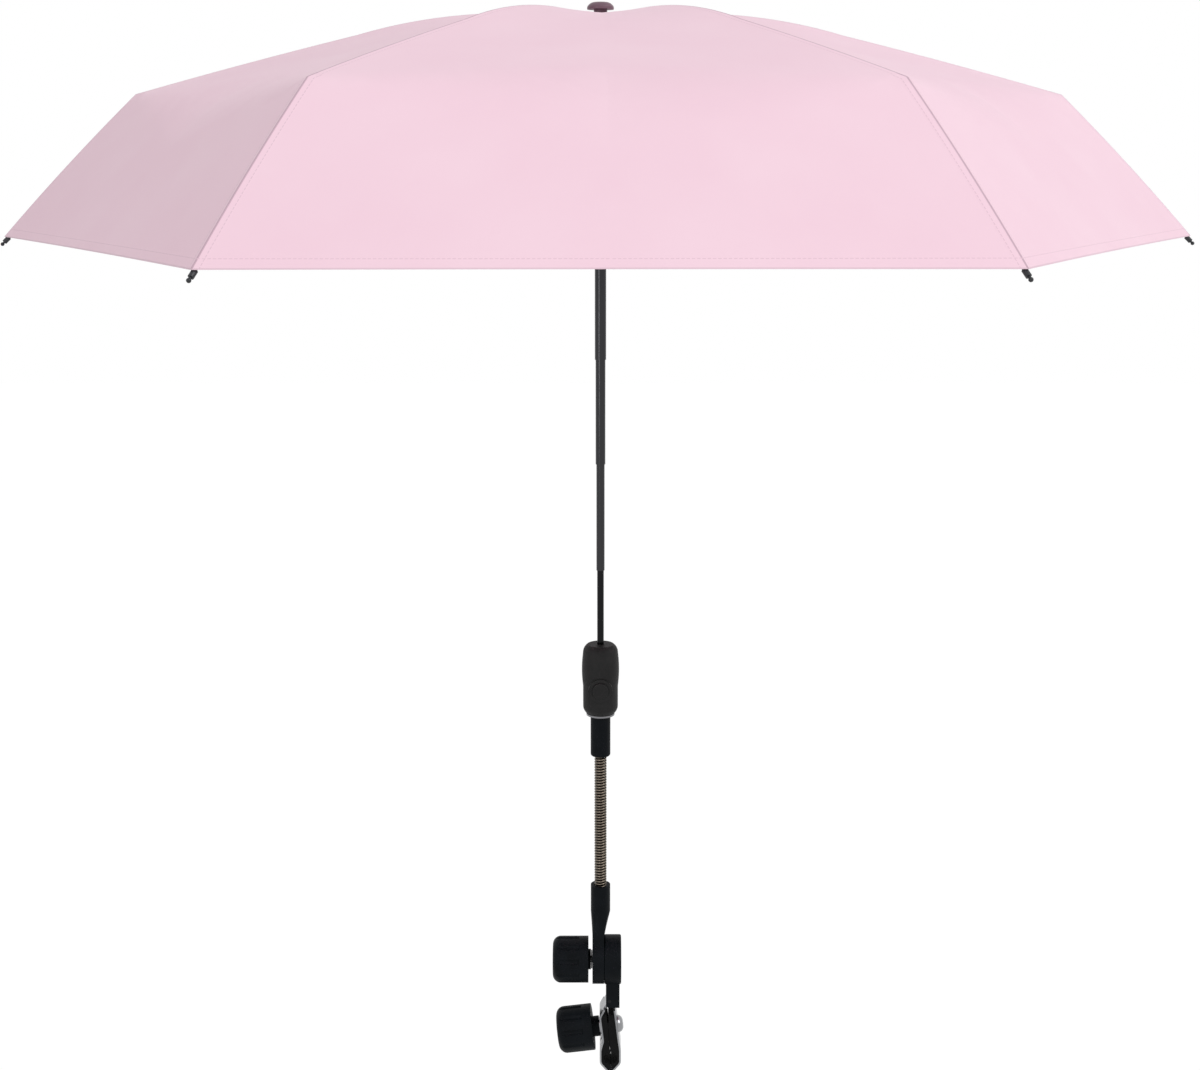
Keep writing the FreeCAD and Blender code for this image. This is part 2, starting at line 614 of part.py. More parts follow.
def wound_wire(radius, pitch, turns, wire):
    """A coil of six-sided wire about Z from z = 0."""
    path = helix_wire(radius, pitch, turns, wire)
    start = path.Edges[0]
    heading = (start.lastVertex().Point - start.firstVertex().Point).normalize()
    corners = [Vector(wire / 2 * math.cos(math.pi / 3 * k), wire / 2 * math.sin(math.pi / 3 * k), 0)
               for k in range(7)]
    section = Part.makePolygon(corners)
    section.Placement = Placement(start.firstVertex().Point, Rotation(UP, heading))
    return path.makePipeShell([section], True, False)


def self_gap(radius, pitch, turns, wire):
    """The least space between neighbouring turns, measured on points along the centre line."""
    count = 72
    turn = 2 * math.pi / count
    points = [Vector(radius * math.cos(turn * k), radius * math.sin(turn * k), pitch * k / count)
              for k in range(count * min(turns, 4))]
    apart = count // 2
    pairs = [(a, b) for k, a in enumerate(points) for b in points[k + apart:]]
    return min(a.distanceToPoint(b) for a, b in pairs) - wire


def hose_coil():
    length = FERRULE_BOTTOM - HOSE_BOTTOM + 2 * HOSE_INSERT
    turns = int(length / HOSE_PITCH)
    coil = wound_wire(HOSE_COIL_RADIUS, HOSE_PITCH, turns, HOSE_WIRE)
    gap = self_gap(HOSE_COIL_RADIUS, HOSE_PITCH, turns, HOSE_WIRE)
    print(f"hose: {turns} turns, least gap {gap:.2f} mm")
    return coil.translated(at(0, HOSE_BOTTOM - HOSE_INSERT + (length - turns * HOSE_PITCH) / 2))


def hose_core():
    bottom = HOSE_BOTTOM - HOSE_SOCKET_DEPTH + SEAT_CLEARANCE
    top = FERRULE_BOTTOM + HOSE_SOCKET_DEPTH - SEAT_CLEARANCE
    return Part.makeCylinder(HOSE_CORE_RADIUS, top - bottom, at(0, bottom))


def button_spring():
    """The return spring behind the button."""
    room = BUTTON_STANDOFF - BUTTON_LENGTH - BUTTON_POCKET_FLOOR - BUTTON_SPRING_WIRE - 2 * SEAT_CLEARANCE
    pitch = room / BUTTON_SPRING_TURNS
    coil = wound_wire(BUTTON_SPRING_RADIUS, pitch, BUTTON_SPRING_TURNS, BUTTON_SPRING_WIRE)
    gap = self_gap(BUTTON_SPRING_RADIUS, pitch, BUTTON_SPRING_TURNS, BUTTON_SPRING_WIRE)
    print(f"button spring: least gap {gap:.2f} mm")
    foot = BUTTON_POCKET_FLOOR + SEAT_CLEARANCE + BUTTON_SPRING_WIRE / 2
    coil.Placement = Placement(button_axis(foot), Rotation(UP, Vector(0, -1, 0)))
    return coil


def hose_socket(mouth, direction):
    """The room for the hose's end: a lip at the mouth and a wider pocket behind it."""
    lip = Part.makeCylinder(HOSE_RADIUS + SEAT_CLEARANCE, HOSE_SOCKET_DEPTH, mouth, direction)
    pocket = Part.makeCylinder(HOSE_RADIUS + SOCKET_ROOM, HOSE_SOCKET_DEPTH - SOCKET_LIP,
                               mouth + direction * SOCKET_LIP, direction)
    return lip.fuse(pocket)


def upper_ferrule():
    """The sleeve under the handle, with a spigot up into it."""
    top = HANDLE_BOTTOM - PIN_CLEARANCE
    body = turned(outline((0, FERRULE_BOTTOM), (FERRULE_RADIUS - FERRULE_ROUND, FERRULE_BOTTOM),
                          ((FERRULE_RADIUS - FERRULE_ROUND * 0.3, FERRULE_BOTTOM + FERRULE_ROUND * 0.3),
                           (FERRULE_RADIUS, FERRULE_BOTTOM + FERRULE_ROUND)),
                          (FERRULE_RADIUS, top), (FERRULE_SPIGOT_RADIUS, top),
                          (FERRULE_SPIGOT_RADIUS, top + FERRULE_SPIGOT_LENGTH),
                          (0, top + FERRULE_SPIGOT_LENGTH)))
    return body.cut(hose_socket(at(0, FERRULE_BOTTOM), UP))


def tilt_arm():
    """The lower ferrule, which flattens into a round lug on the tilt axis."""
    neck_bottom = TILT_HEIGHT + HEAD_RADIUS + NECK_CLEARANCE
    neck_top = HOSE_BOTTOM - SLEEVE_LENGTH
    sleeve = Part.makeCylinder(FERRULE_RADIUS, SLEEVE_LENGTH, at(SHAFT_X, neck_top))
    half = NECK_WIDTH / 2
    base = Part.makePolygon([Vector(LUG_LEFT, -half, neck_bottom), Vector(LUG_RIGHT, -half, neck_bottom),
                             Vector(LUG_RIGHT, half, neck_bottom), Vector(LUG_LEFT, half, neck_bottom),
                             Vector(LUG_LEFT, -half, neck_bottom)])
    centre = at(SHAFT_X, neck_top)
    spots = [centre + Rotation(UP, 225 + 45 * k).multVec(Vector(FERRULE_RADIUS, 0, 0)) for k in range(9)]
    arcs = [Part.Arc(*spots[2 * k:2 * k + 3]).toShape() for k in range(4)]
    neck = Part.makeLoft([base, Part.Wire(arcs)], True, True)
    lug = Part.makeCylinder(LUG_RADIUS, LUG_THICKNESS, at(LUG_LEFT, TILT_HEIGHT), Vector(1, 0, 0))
    web = Part.makeBox(LUG_THICKNESS, NECK_WIDTH, neck_bottom - TILT_HEIGHT - TILT_BOLT_RADIUS * 2,
                       Vector(LUG_LEFT, -half, TILT_HEIGHT + TILT_BOLT_RADIUS * 2))
    arm = lug.fuse(web).fuse(neck).fuse(sleeve)
    bolt_hole = Part.makeCylinder(TILT_BOLT_RADIUS + PIN_CLEARANCE, LUG_THICKNESS,
                                  at(LUG_LEFT, TILT_HEIGHT), Vector(1, 0, 0))
    return arm.cut([bolt_hole, hose_socket(at(SHAFT_X, HOSE_BOTTOM), Vector(0, 0, -1))])


def hexagon_prism(flats, height):
    """A hexagon across X, from x = 0."""
    corner = flats / 2 / math.cos(math.pi / 6)
    points = [Vector(0, corner * math.cos(math.pi / 3 * k), corner * math.sin(math.pi / 3 * k))
              for k in range(7)]
    return Part.Face(Part.makePolygon(points)).extrude(Vector(height, 0, 0))


def tilt_head():
    """The round head of the tilt joint, with a forked stem that holds both jaws."""
    thickness = HEAD_RIGHT - HEAD_LEFT
    disc = Part.makeCylinder(HEAD_RADIUS, thickness, at(HEAD_LEFT, TILT_HEIGHT), Vector(1, 0, 0))
    rims = [edge for edge in disc.Edges if edge.Curve.TypeId == "Part::GeomCircle"]
    disc = disc.makeFillet(HEAD_ROUND, rims)
    stem = Part.makeBox(STEM_RIGHT - STEM_LEFT, STEM_WIDTH, TILT_HEIGHT - STEM_BOTTOM,
                        Vector(STEM_LEFT, -STEM_WIDTH / 2, STEM_BOTTOM))
    corner = [edge for edge in stem.Edges
              if edge.CenterOfMass.isEqual(at(STEM_LEFT, STEM_BOTTOM), PIN_CLEARANCE)]
    stem = stem.makeFillet(STEM_ROUND, corner)
    slot_width = JAW_TONGUE_WIDTH + 2 * SIDE_CLEARANCE
    slot_left = FIXED_JAW_X - JAW_PLATE / 2 - PIN_CLEARANCE
    pocket = Part.makeBox(slot_left - STEM_LEFT - RIB_WALL, slot_width, FORK_POCKET_TOP - STEM_BOTTOM,
                          Vector(STEM_LEFT, -slot_width / 2, STEM_BOTTOM))
    tongue_slot = Part.makeBox(JAW_PLATE + 2 * PIN_CLEARANCE, slot_width, FIXED_JAW_TOP - STEM_BOTTOM,
                               Vector(slot_left, -slot_width / 2, STEM_BOTTOM))
    head = disc.fuse(stem).cut([pocket, tongue_slot])
    pin_hole = rod_across(at(JAW_PIN_X, JAW_PIN_HEIGHT), JAW_PIN_RADIUS, STEM_WIDTH)
    bolt_hole = Part.makeCylinder(TILT_BOLT_RADIUS, thickness, at(HEAD_LEFT, TILT_HEIGHT), Vector(1, 0, 0))
    recess = hexagon_prism(TILT_BOLT_HEAD_FLATS + 2 * SEAT_CLEARANCE, TILT_BOLT_HEAD_HEIGHT)
    recess.translate(at(HEAD_RIGHT - TILT_BOLT_HEAD_HEIGHT, TILT_HEIGHT))
    return head.cut([pin_hole, bolt_hole, recess])


def tilt_bolt():
    """A hexagon bolt through head, lug and knob."""
    head_left = HEAD_RIGHT - TILT_BOLT_HEAD_HEIGHT
    end = tilt_knob_seat() - KNOB_BORE_DEPTH + SEAT_CLEARANCE * 5
    head = hexagon_prism(TILT_BOLT_HEAD_FLATS, TILT_BOLT_HEAD_HEIGHT).translated(at(head_left, TILT_HEIGHT))
    shank = Part.makeCylinder(TILT_BOLT_RADIUS, head_left - end, at(end, TILT_HEIGHT), Vector(1, 0, 0))
    return head.fuse(shank)


def tilt_washer_seat():
    return LUG_LEFT - SEAT_CLEARANCE


def tilt_knob_seat():
    return tilt_washer_seat() - WASHER_THICKNESS - SEAT_CLEARANCE


def washer(radius, hole):
    """A flat ring from z = 0."""
    return tube(radius, hole, 0, WASHER_THICKNESS)


def knob(collar, bolt_radius):
    """A fluted grip on a collar, from z = 0, with a blind bore for its bolt."""
    length = collar + KNOB_LENGTH
    edge = KNOB_RADIUS - KNOB_ROUND
    bend = KNOB_ROUND * (1 - math.sqrt(0.5))
    body = turned(outline((0, 0), (KNOB_COLLAR_RADIUS, 0), (KNOB_COLLAR_RADIUS, collar),
                          (KNOB_RADIUS, collar), (KNOB_RADIUS, length - KNOB_ROUND),
                          ((KNOB_RADIUS - bend, length - bend), (edge, length)), (0, length)))
    reach = KNOB_RADIUS + KNOB_FLUTE_RADIUS - KNOB_FLUTE_DEPTH
    flute = Part.makeCylinder(KNOB_FLUTE_RADIUS, KNOB_LENGTH, Vector(reach, 0, collar + KNOB_SKIRT))
    step = 360 / KNOB_FLUTES
    flutes = [flute.rotated(Vector(), UP, step * k) for k in range(KNOB_FLUTES)]
    bore = Part.makeCylinder(bolt_radius + PIN_CLEARANCE, KNOB_BORE_DEPTH)
    return body.cut(flutes + [bore])


def placed(shape, position, direction):
    shape.Placement = Placement(position, Rotation(UP, direction))
    return shape


# The clamp's bolt leans with the jaws, down to the left
BOLT_ALONG = at(math.cos(math.radians(JAW_LEAN)), math.sin(math.radians(JAW_LEAN)))
BOLT_UP = at(-BOLT_ALONG.z, BOLT_ALONG.x)
BOLT_CENTRE = at(0, CLAMP_BOLT_HEIGHT)


def bolt_point(x, y=0.0):
    """A point at a distance along the clamp's bolt, to the right of the clamp's middle."""
    return BOLT_CENTRE + BOLT_ALONG * x + ACROSS * y


def leaning(x, top, bottom):
    """Where a jaw that leans from x at the top arrives at the bottom."""
    return x + (top - bottom) * math.tan(math.radians(JAW_LEAN))


def jaw_bulb(side):
    """The lower part of a jaw's path, round the tube. Side is 1 on the right and -1 on the left."""
    return [(side * BULB_HALF_WIDTH, BULB_TOP), (side * BULB_HALF_WIDTH, BULB_BOTTOM),
            (side * JAW_TIP_GAP, JAW_TIP)]


def fixed_path():
    bend = (leaning(FIXED_JAW_X, FIXED_JAW_BEND, JAW_LOWER_BEND), JAW_LOWER_BEND)
    return [(FIXED_JAW_X, FIXED_JAW_TOP), (FIXED_JAW_X, FIXED_JAW_BEND), bend] + jaw_bulb(1)


def moving_path():
    bend = (leaning(MOVING_JAW_X, MOVING_JAW_BEND, JAW_LOWER_BEND), JAW_LOWER_BEND)
    return [(JAW_PIN_X, JAW_PIN_HEIGHT), (MOVING_JAW_X, MOVING_JAW_BEND), bend] + jaw_bulb(-1)


JAW_BENDS = (8.0, 8.0, 9.0, 6.0)


def shifted(points, distance):
    """A path moved sideways to its left, with its corners kept."""
    lines = []
    for (ax, az), (bx, bz) in zip(points, points[1:]):
        length = math.hypot(bx - ax, bz - az)
        nx, nz = (az - bz) / length * distance, (bx - ax) / length * distance
        lines.append(((ax + nx, az + nz), (bx + nx, bz + nz)))
    moved = [lines[0][0]]
    for ((ax, az), (bx, bz)), ((cx, cz), (dx, dz)) in zip(lines, lines[1:]):
        ux, uz, vx, vz = bx - ax, bz - az, dx - cx, dz - cz
        share = ((cx - ax) * vz - (cz - az) * vx) / (ux * vz - uz * vx)
        moved.append((ax + ux * share, az + uz * share))
    return moved + [lines[-1][1]]


def rounded(points, bends):
    """The edges of a path with an arc at each inner corner."""
    edges = []
    here = at(*points[0])
    for before, corner, after, bend in zip(points, points[1:], points[2:], bends):
        tip = at(*corner)
        back = (at(*before) - tip).normalize()
        ahead = (at(*after) - tip).normalize()
        half = back.getAngle(ahead) / 2
        start, end = tip + back * (bend / math.tan(half)), tip + ahead * (bend / math.tan(half))
        middle = (back + ahead).normalize()
        via = tip + middle * (bend / math.sin(half) - bend)
        edges += [Part.makeLine(here, start), Part.Arc(start, via, end).toShape()]
        here = end
    return edges + [Part.makeLine(here, at(*points[-1]))]


def bend_sides(points):
    """1 at each inner corner that turns left, -1 at each that turns right."""
    sides = []
    for (ax, az), (bx, bz), (cx, cz) in zip(points, points[1:], points[2:]):
        turn = (bx - ax) * (cz - bz) - (bz - az) * (cx - bx)
        sides.append(1 if turn > 0 else -1)
    return sides


def bent_plate(points, width):
    """A bent sheet of the jaws' thickness along a path."""
    half = JAW_PLATE / 2
    sides = bend_sides(points)
    left = rounded(shifted(points, half), [b - s * half for b, s in zip(JAW_BENDS, sides)])
    right = rounded(shifted(points, -half), [b + s * half for b, s in zip(JAW_BENDS, sides)])
    first = Part.makeLine(right[0].firstVertex().Point, left[0].firstVertex().Point)
    last = Part.makeLine(left[-1].lastVertex().Point, right[-1].lastVertex().Point)
    return plate(Part.Wire(left + [last] + right[::-1] + [first]), width)


def split_x(height):
    """Where the two pads meet."""
    return -height * math.tan(math.radians(JAW_SPLIT_LEAN))


def narrowed(shape):
    """A jaw with its top cut down to the tongue that enters the stem."""
    side = (JAW_WIDTH - JAW_TONGUE_WIDTH) / 2
    limit = STEM_BOTTOM - STEM_ROUND
    for y in (-JAW_WIDTH / 2, JAW_WIDTH / 2 - side):
        shape = shape.cut(Part.makeBox(JAW_WIDTH * 2, side, FIXED_JAW_TOP, Vector(-JAW_WIDTH, y, limit)))
    return shape


def bolt_slot(down, up):
    """The hole for the clamp's bolt, lengthened down and up."""
    reach = JAW_WIDTH
    shapes = [Part.makeCylinder(CLAMP_BOLT_HOLE, 2 * reach, bolt_point(-reach) + BOLT_UP * rise, BOLT_ALONG)
              for rise in (-down, up)]
    corners = [bolt_point(x, -CLAMP_BOLT_HOLE) + BOLT_UP * rise
               for x, rise in ((-reach, -down), (reach, -down), (reach, up), (-reach, up))]
    middle = Part.Face(Part.makePolygon(corners + corners[:1])).extrude(ACROSS * (2 * CLAMP_BOLT_HOLE))
    return shapes[0].fuse([shapes[1], middle])


def bolt_hole():
    reach = JAW_WIDTH
    return Part.makeCylinder(CLAMP_BOLT_HOLE, 2 * reach, bolt_point(-reach), BOLT_ALONG)


def fixed_jaw():
    return narrowed(bent_plate(fixed_path(), JAW_WIDTH)).cut(bolt_hole())


def moving_jaw():
    """The swinging jaw, curled round its pin."""
    pin = at(JAW_PIN_X, JAW_PIN_HEIGHT)
    sheet = narrowed(bent_plate(moving_path(), JAW_WIDTH))
    knuckle = rod_across(pin, JAW_PIN_RADIUS + JAW_KNUCKLE_WALL, JAW_TONGUE_WIDTH)
    jaw = sheet.fuse(knuckle).cut(rod_across(pin, JAW_PIN_RADIUS + PIN_CLEARANCE, JAW_WIDTH))
    return jaw.cut(bolt_slot(CLAMP_SLOT_DOWN, CLAMP_SLOT_UP))


def pad(path, side, hole):
    """The rubber between a jaw's plate and the split, hollowed for the tube."""
    (top_x, top_z), (tip_x, tip_z) = path[0], path[-1]
    gap = side * SOFT_CLEARANCE / 2
    edges = rounded(path, JAW_BENDS)
    foot, head = at(split_x(tip_z) + gap, tip_z), at(split_x(top_z) + gap, top_z)
    edges += [Part.makeLine(at(tip_x, tip_z), foot), Part.makeLine(foot, head),
              Part.makeLine(head, at(top_x, top_z))]
    block = plate(Part.Wire(edges), JAW_WIDTH)
    room = Part.makeBox(JAW_WIDTH * 2, JAW_WIDTH, PAD_TOP - PAD_BOTTOM,
                        Vector(-JAW_WIDTH, -JAW_WIDTH / 2, PAD_BOTTOM))
    relief_top, relief_foot = split_x(PAD_TOP), split_x(PAD_SLOT_BOTTOM)
    half = PAD_SLOT_TOP_GAP / 2
    relief = plate(outline((relief_foot - half, PAD_SLOT_BOTTOM), (relief_foot + half, PAD_SLOT_BOTTOM),
                           (relief_top + half, PAD_TOP), (relief_top - half, PAD_TOP)), JAW_WIDTH)
    return block.common(room).cut([bent_plate(path, JAW_WIDTH), relief, hole,
                                   rod_across(Vector(), BORE_RADIUS, JAW_WIDTH)])


def fixed_pad():
    return pad(fixed_path(), 1, bolt_hole())


def moving_pad():
    return pad(moving_path(), -1, bolt_slot(CLAMP_SLOT_DOWN, CLAMP_SLOT_UP))


def jaw_pin():
    return rod_across(at(JAW_PIN_X, JAW_PIN_HEIGHT), JAW_PIN_RADIUS, STEM_WIDTH)


def bolt_crossing(path):
    """How far along the bolt a leaning jaw's middle lies."""
    (ax, az), (bx, bz) = path[1], path[2]
    share = (az - CLAMP_BOLT_HEIGHT) / (az - bz)
    return (at(ax + (bx - ax) * share, CLAMP_BOLT_HEIGHT) - BOLT_CENTRE).dot(BOLT_ALONG)


def clamp_washer_seat():
    return bolt_crossing(moving_path()) - JAW_PLATE / 2 - SEAT_CLEARANCE


def clamp_knob_seat():
    return clamp_washer_seat() - WASHER_THICKNESS - SEAT_CLEARANCE


def clamp_bolt():
    """A round-headed bolt through both jaws, into the knob."""
    under_head = bolt_crossing(fixed_path()) + JAW_PLATE / 2 + PIN_CLEARANCE
    end = clamp_knob_seat() - KNOB_BORE_DEPTH + SEAT_CLEARANCE * 5
    rise = CLAMP_BOLT_HEAD_HEIGHT
    head = turned(outline((0, 0), (CLAMP_BOLT_HEAD_RADIUS, 0),
                          ((CLAMP_BOLT_HEAD_RADIUS * 0.8, rise * 0.7),
                           (CLAMP_BOLT_HEAD_RADIUS * FLAT_SHARE, rise)), (0, rise)))
    head = placed(head, bolt_point(under_head), BOLT_ALONG)
    return head.fuse(Part.makeCylinder(CLAMP_BOLT_RADIUS, under_head - end, bolt_point(end), BOLT_ALONG))


def clamp_washer():
    ring = washer(CLAMP_WASHER_RADIUS, CLAMP_BOLT_RADIUS + SLIDE_CLEARANCE)
    return placed(ring, bolt_point(clamp_washer_seat()), BOLT_ALONG * -1)


def clamp_knob():
    return placed(knob(CLAMP_KNOB_COLLAR, CLAMP_BOLT_RADIUS), bolt_point(clamp_knob_seat()), BOLT_ALONG * -1)


def tilt_washer():
    ring = washer(TILT_WASHER_RADIUS, TILT_BOLT_RADIUS + SLIDE_CLEARANCE)
    return placed(ring, at(tilt_washer_seat(), TILT_HEIGHT), Vector(-1, 0, 0))


def tilt_knob():
    return placed(knob(TILT_KNOB_COLLAR, TILT_BOLT_RADIUS), at(tilt_knob_seat(), TILT_HEIGHT),
                  Vector(-1, 0, 0))


def all_parts():
    """Every piece of the parasol by name."""
    parts = {
        "tilt_head": tilt_head(), "tilt_bolt": tilt_bolt(), "tilt_washer": tilt_washer(),
        "tilt_knob": tilt_knob(), "tilt_arm": tilt_arm(),
        "fixed_jaw": fixed_jaw(), "fixed_pad": fixed_pad(),
        "moving_jaw": moving_jaw(), "moving_pad": moving_pad(), "jaw_pin": jaw_pin(),
        "clamp_bolt": clamp_bolt(), "clamp_washer": clamp_washer(), "clamp_knob": clamp_knob(),
        "hose_coil": on_shaft(hose_coil()), "hose_core": on_shaft(hose_core()),
        "upper_ferrule": on_shaft(upper_ferrule()), "handle": on_shaft(handle()),
        "handle_end_ring": on_shaft(end_ring()), "handle_button": on_shaft(handle_button()),
        "button_spring": on_shaft(button_spring()),
        "top_notch": on_shaft(top_notch()), "notch_wire": on_shaft(notch_wire()),
        "crown_cap": on_shaft(crown_cap()), "runner": on_shaft(runner()), "canopy": on_shaft(canopy()),
    }
    for i, shape in enumerate(shaft_tubes(), 1):
        parts[f"shaft_tube_{i}"] = on_shaft(shape)
    for name, make in (("inner_rib", inner_rib), ("middle_rib", middle_rib), ("outer_rib", outer_rib),
                       ("rib_tip", rib_tip), ("stay", stay)):
        for i, shape in enumerate(spokes(make()), 1):
            parts[f"{name}_{i}"] = shape
    return parts


def main():
    os.makedirs("parts", exist_ok=True)
    for name, shape in all_parts().items():
        shape.exportStep(f"parts/{name}.step")


if __name__ == "__main__":
    main()
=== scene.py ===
import math

import bpy
from mathutils import Matrix, Vector


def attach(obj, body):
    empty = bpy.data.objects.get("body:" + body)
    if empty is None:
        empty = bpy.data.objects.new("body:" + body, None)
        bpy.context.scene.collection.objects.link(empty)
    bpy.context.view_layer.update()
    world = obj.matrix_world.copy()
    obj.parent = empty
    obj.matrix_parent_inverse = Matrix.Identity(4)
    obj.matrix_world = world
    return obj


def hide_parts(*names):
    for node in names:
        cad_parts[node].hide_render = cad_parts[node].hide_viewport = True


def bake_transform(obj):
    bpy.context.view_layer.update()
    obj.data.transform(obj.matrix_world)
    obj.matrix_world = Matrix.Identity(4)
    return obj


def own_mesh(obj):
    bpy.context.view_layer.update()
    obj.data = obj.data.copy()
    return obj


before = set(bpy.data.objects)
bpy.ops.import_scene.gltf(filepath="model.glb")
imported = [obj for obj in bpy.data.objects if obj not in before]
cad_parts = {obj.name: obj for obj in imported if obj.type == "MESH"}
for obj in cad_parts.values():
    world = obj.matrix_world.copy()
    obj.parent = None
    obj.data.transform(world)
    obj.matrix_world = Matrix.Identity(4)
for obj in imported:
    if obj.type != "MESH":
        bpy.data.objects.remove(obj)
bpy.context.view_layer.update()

# Sizes in metres and slopes in degrees, as in the part.
SHAFT_X = -0.0086
RIBS = 6
RIB_TURN = math.radians(0.85)
CROWN_RADIUS = 0.0125
CROWN_HEIGHT = 0.8755
INNER_LENGTH, INNER_SLOPE, INNER_BOW = 0.176, -4.0, 0.0092
MIDDLE_LENGTH, MIDDLE_SLOPE, MIDDLE_BOW = 0.178, -14.4, 0.0008
OUTER_LENGTH, OUTER_SLOPE = 0.1602, -43.26
ELBOW_DROP = 0.0038
ELBOW_PAST = 0.0016
CLOTH_RISE = 0.0036
CORNER_RISE = 0.003
CORNER_BACK = 0.00675
CLOTH_HOLE = 0.006
CLOTH_SAG = 0.006
HEM_RECESS = 0.003
CLOTH_BULGE = 0.0015
HOSE_BOTTOM, HOSE_TOP = 0.1584, 0.2763
HOSE_INSERT = 0.010
HOSE_COIL_RADIUS, HOSE_WIRE, HOSE_TURNS = 0.0044, 0.0018, 57
HOSE_CORE_RADIUS = 0.0032
SPRING_RADIUS, SPRING_WIRE, SPRING_TURNS = 0.0046, 0.0006, 3
SPRING_BACK, SPRING_FRONT = -0.0053, -0.0095
BUTTON_HEIGHT = 0.3384
TILT_HEIGHT = 0.088
DISC_X, DISC_THICKNESS = -0.0055, 0.00012
DISC_RADIUS, DISC_HOLE = 0.0207, 0.0034
# The cloth has its full sag from this share of the way between the crown and a corner.
CROWN_SHARE = 0.12
# The crown's length of cloth reaches this far along the inner rib, and is flat up to this level.
CROWN_END, CROWN_FLAT = 0.05, 0.25
# The level of the hem, and how many levels the cloth is rounded off over in the middle of a gore.
HEM_LEVEL, EASED = 4, 0.3


def linear(hex_colour):
    """A colour as written for screens, for a shader's socket."""
    channels = [int(hex_colour[i:i + 2], 16) / 255 for i in (1, 3, 5)]
    return tuple(c / 12.92 if c <= 0.04045 else ((c + 0.055) / 1.055) ** 2.4 for c in channels) + (1.0,)


def node(tree, kind, settings=None, links=None):
    """Adds a node. Settings are its own properties and its sockets' values, links what feeds its sockets."""
    made = tree.nodes.new(kind)
    for name, value in (settings or {}).items():
        if isinstance(name, int) or name in made.inputs:
            made.inputs[name].default_value = value
        else:
            setattr(made, name, value)
    for name, source in (links or {}).items():
        tree.links.new(source, made.inputs[name])
    return made


def blank_material(name, hex_colour):
    """A new material with no nodes yet, and the colour that it has in plain views."""
    made = bpy.data.materials.new(name)
    made.use_nodes = True
    made.diffuse_color = linear(hex_colour)
    made.node_tree.nodes.clear()
    return made, made.node_tree


def moulded(name, dark, light, smooth, rough, grain, depth, specular):
    """Plastic or rubber from a spark-eroded mould. The tool's fine pits break up the shine to a satin, and
    the way the melt flowed leaves soft clouds of a slightly lighter shade."""
    made, tree = blank_material(name, dark)
    place = node(tree, "ShaderNodeTexCoord")
    pits = node(tree, "ShaderNodeTexNoise", {"Scale": 1 / grain, "Detail": 4.0},
                {"Vector": place.outputs["Object"]})
    clouds = node(tree, "ShaderNodeTexNoise", {"Scale": 1 / 0.015, "Detail": 3.0},
                  {"Vector": place.outputs["Object"]})
    cloudy = node(tree, "ShaderNodeMapRange", {"From Min": 0.3, "From Max": 0.7},
                  {"Value": clouds.outputs["Fac"]})
    tint = node(tree, "ShaderNodeMix", {"data_type": "RGBA", "A": linear(dark), "B": linear(light)},
                {"Factor": cloudy.outputs["Result"]})
    gloss = node(tree, "ShaderNodeMapRange", {"To Min": smooth, "To Max": rough},
                 {"Value": pits.outputs["Fac"]})
    relief = node(tree, "ShaderNodeBump", {"Strength": 0.6, "Distance": depth},
                  {"Height": pits.outputs["Fac"]})
    shader = node(tree, "ShaderNodeBsdfPrincipled", {"Specular IOR Level": specular},
                  {"Base Color": tint.outputs["Result"], "Roughness": gloss.outputs["Result"],
                   "Normal": relief.outputs["Normal"]})
    node(tree, "ShaderNodeOutputMaterial", {}, {"Surface": shader.outputs["BSDF"]})
    return made


def plated(name, dark, light, smooth, rough, grain, draw):
    """Steel under a thin plating. The plating follows the fine marks of drawing, rolling or pressing, which
    blur what it mirrors. Draw above 1 stretches the marks along the shaft."""
    made, tree = blank_material(name, light)
    place = node(tree, "ShaderNodeTexCoord")
    along = node(tree, "ShaderNodeMapping", {"Scale": (1, 1, 1 / draw)}, {"Vector": place.outputs["Object"]})
    marks = node(tree, "ShaderNodeTexNoise", {"Scale": 1 / grain, "Detail": 4.0},
                 {"Vector": along.outputs["Vector"]})
    bloom = node(tree, "ShaderNodeTexNoise", {"Scale": 1 / 0.03, "Detail": 3.0},
                 {"Vector": along.outputs["Vector"]})
    dulled = node(tree, "ShaderNodeMapRange", {"From Min": 0.3, "From Max": 0.7},
                  {"Value": bloom.outputs["Fac"]})
    tint = node(tree, "ShaderNodeMix", {"data_type": "RGBA", "A": linear(dark), "B": linear(light)},
                {"Factor": dulled.outputs["Result"]})
    gloss = node(tree, "ShaderNodeMapRange", {"To Min": smooth, "To Max": rough},
                 {"Value": marks.outputs["Fac"]})
    relief = node(tree, "ShaderNodeBump", {"Strength": 0.6, "Distance": 0.00003},
                  {"Height": marks.outputs["Fac"]})
    shader = node(tree, "ShaderNodeBsdfPrincipled", {"Metallic": 1.0},
                  {"Base Color": tint.outputs["Result"], "Roughness": gloss.outputs["Result"],
                   "Normal": relief.outputs["Normal"]})
    node(tree, "ShaderNodeOutputMaterial", {}, {"Surface": shader.outputs["BSDF"]})
    return made


# The moulds' pits are about 0.1 mm across. They are drawn at 1.1 to 1.4 mm, or they wouldn't show.
# Glass-filled nylon, moulded: a dense blue-black with hardly any shine.
black_nylon = moulded("moulded black nylon", "#080B0E", "#0F1317", smooth=0.42, rough=0.62,
                      grain=0.0011, depth=0.0001, specular=0.07)
# ABS, moulded for a warm grip: a charcoal that scatters light a little more than the nylon.
charcoal_abs = moulded("moulded charcoal ABS", "#181818", "#202020", smooth=0.5, rough=0.7,
                       grain=0.0014, depth=0.00012, specular=0.2)
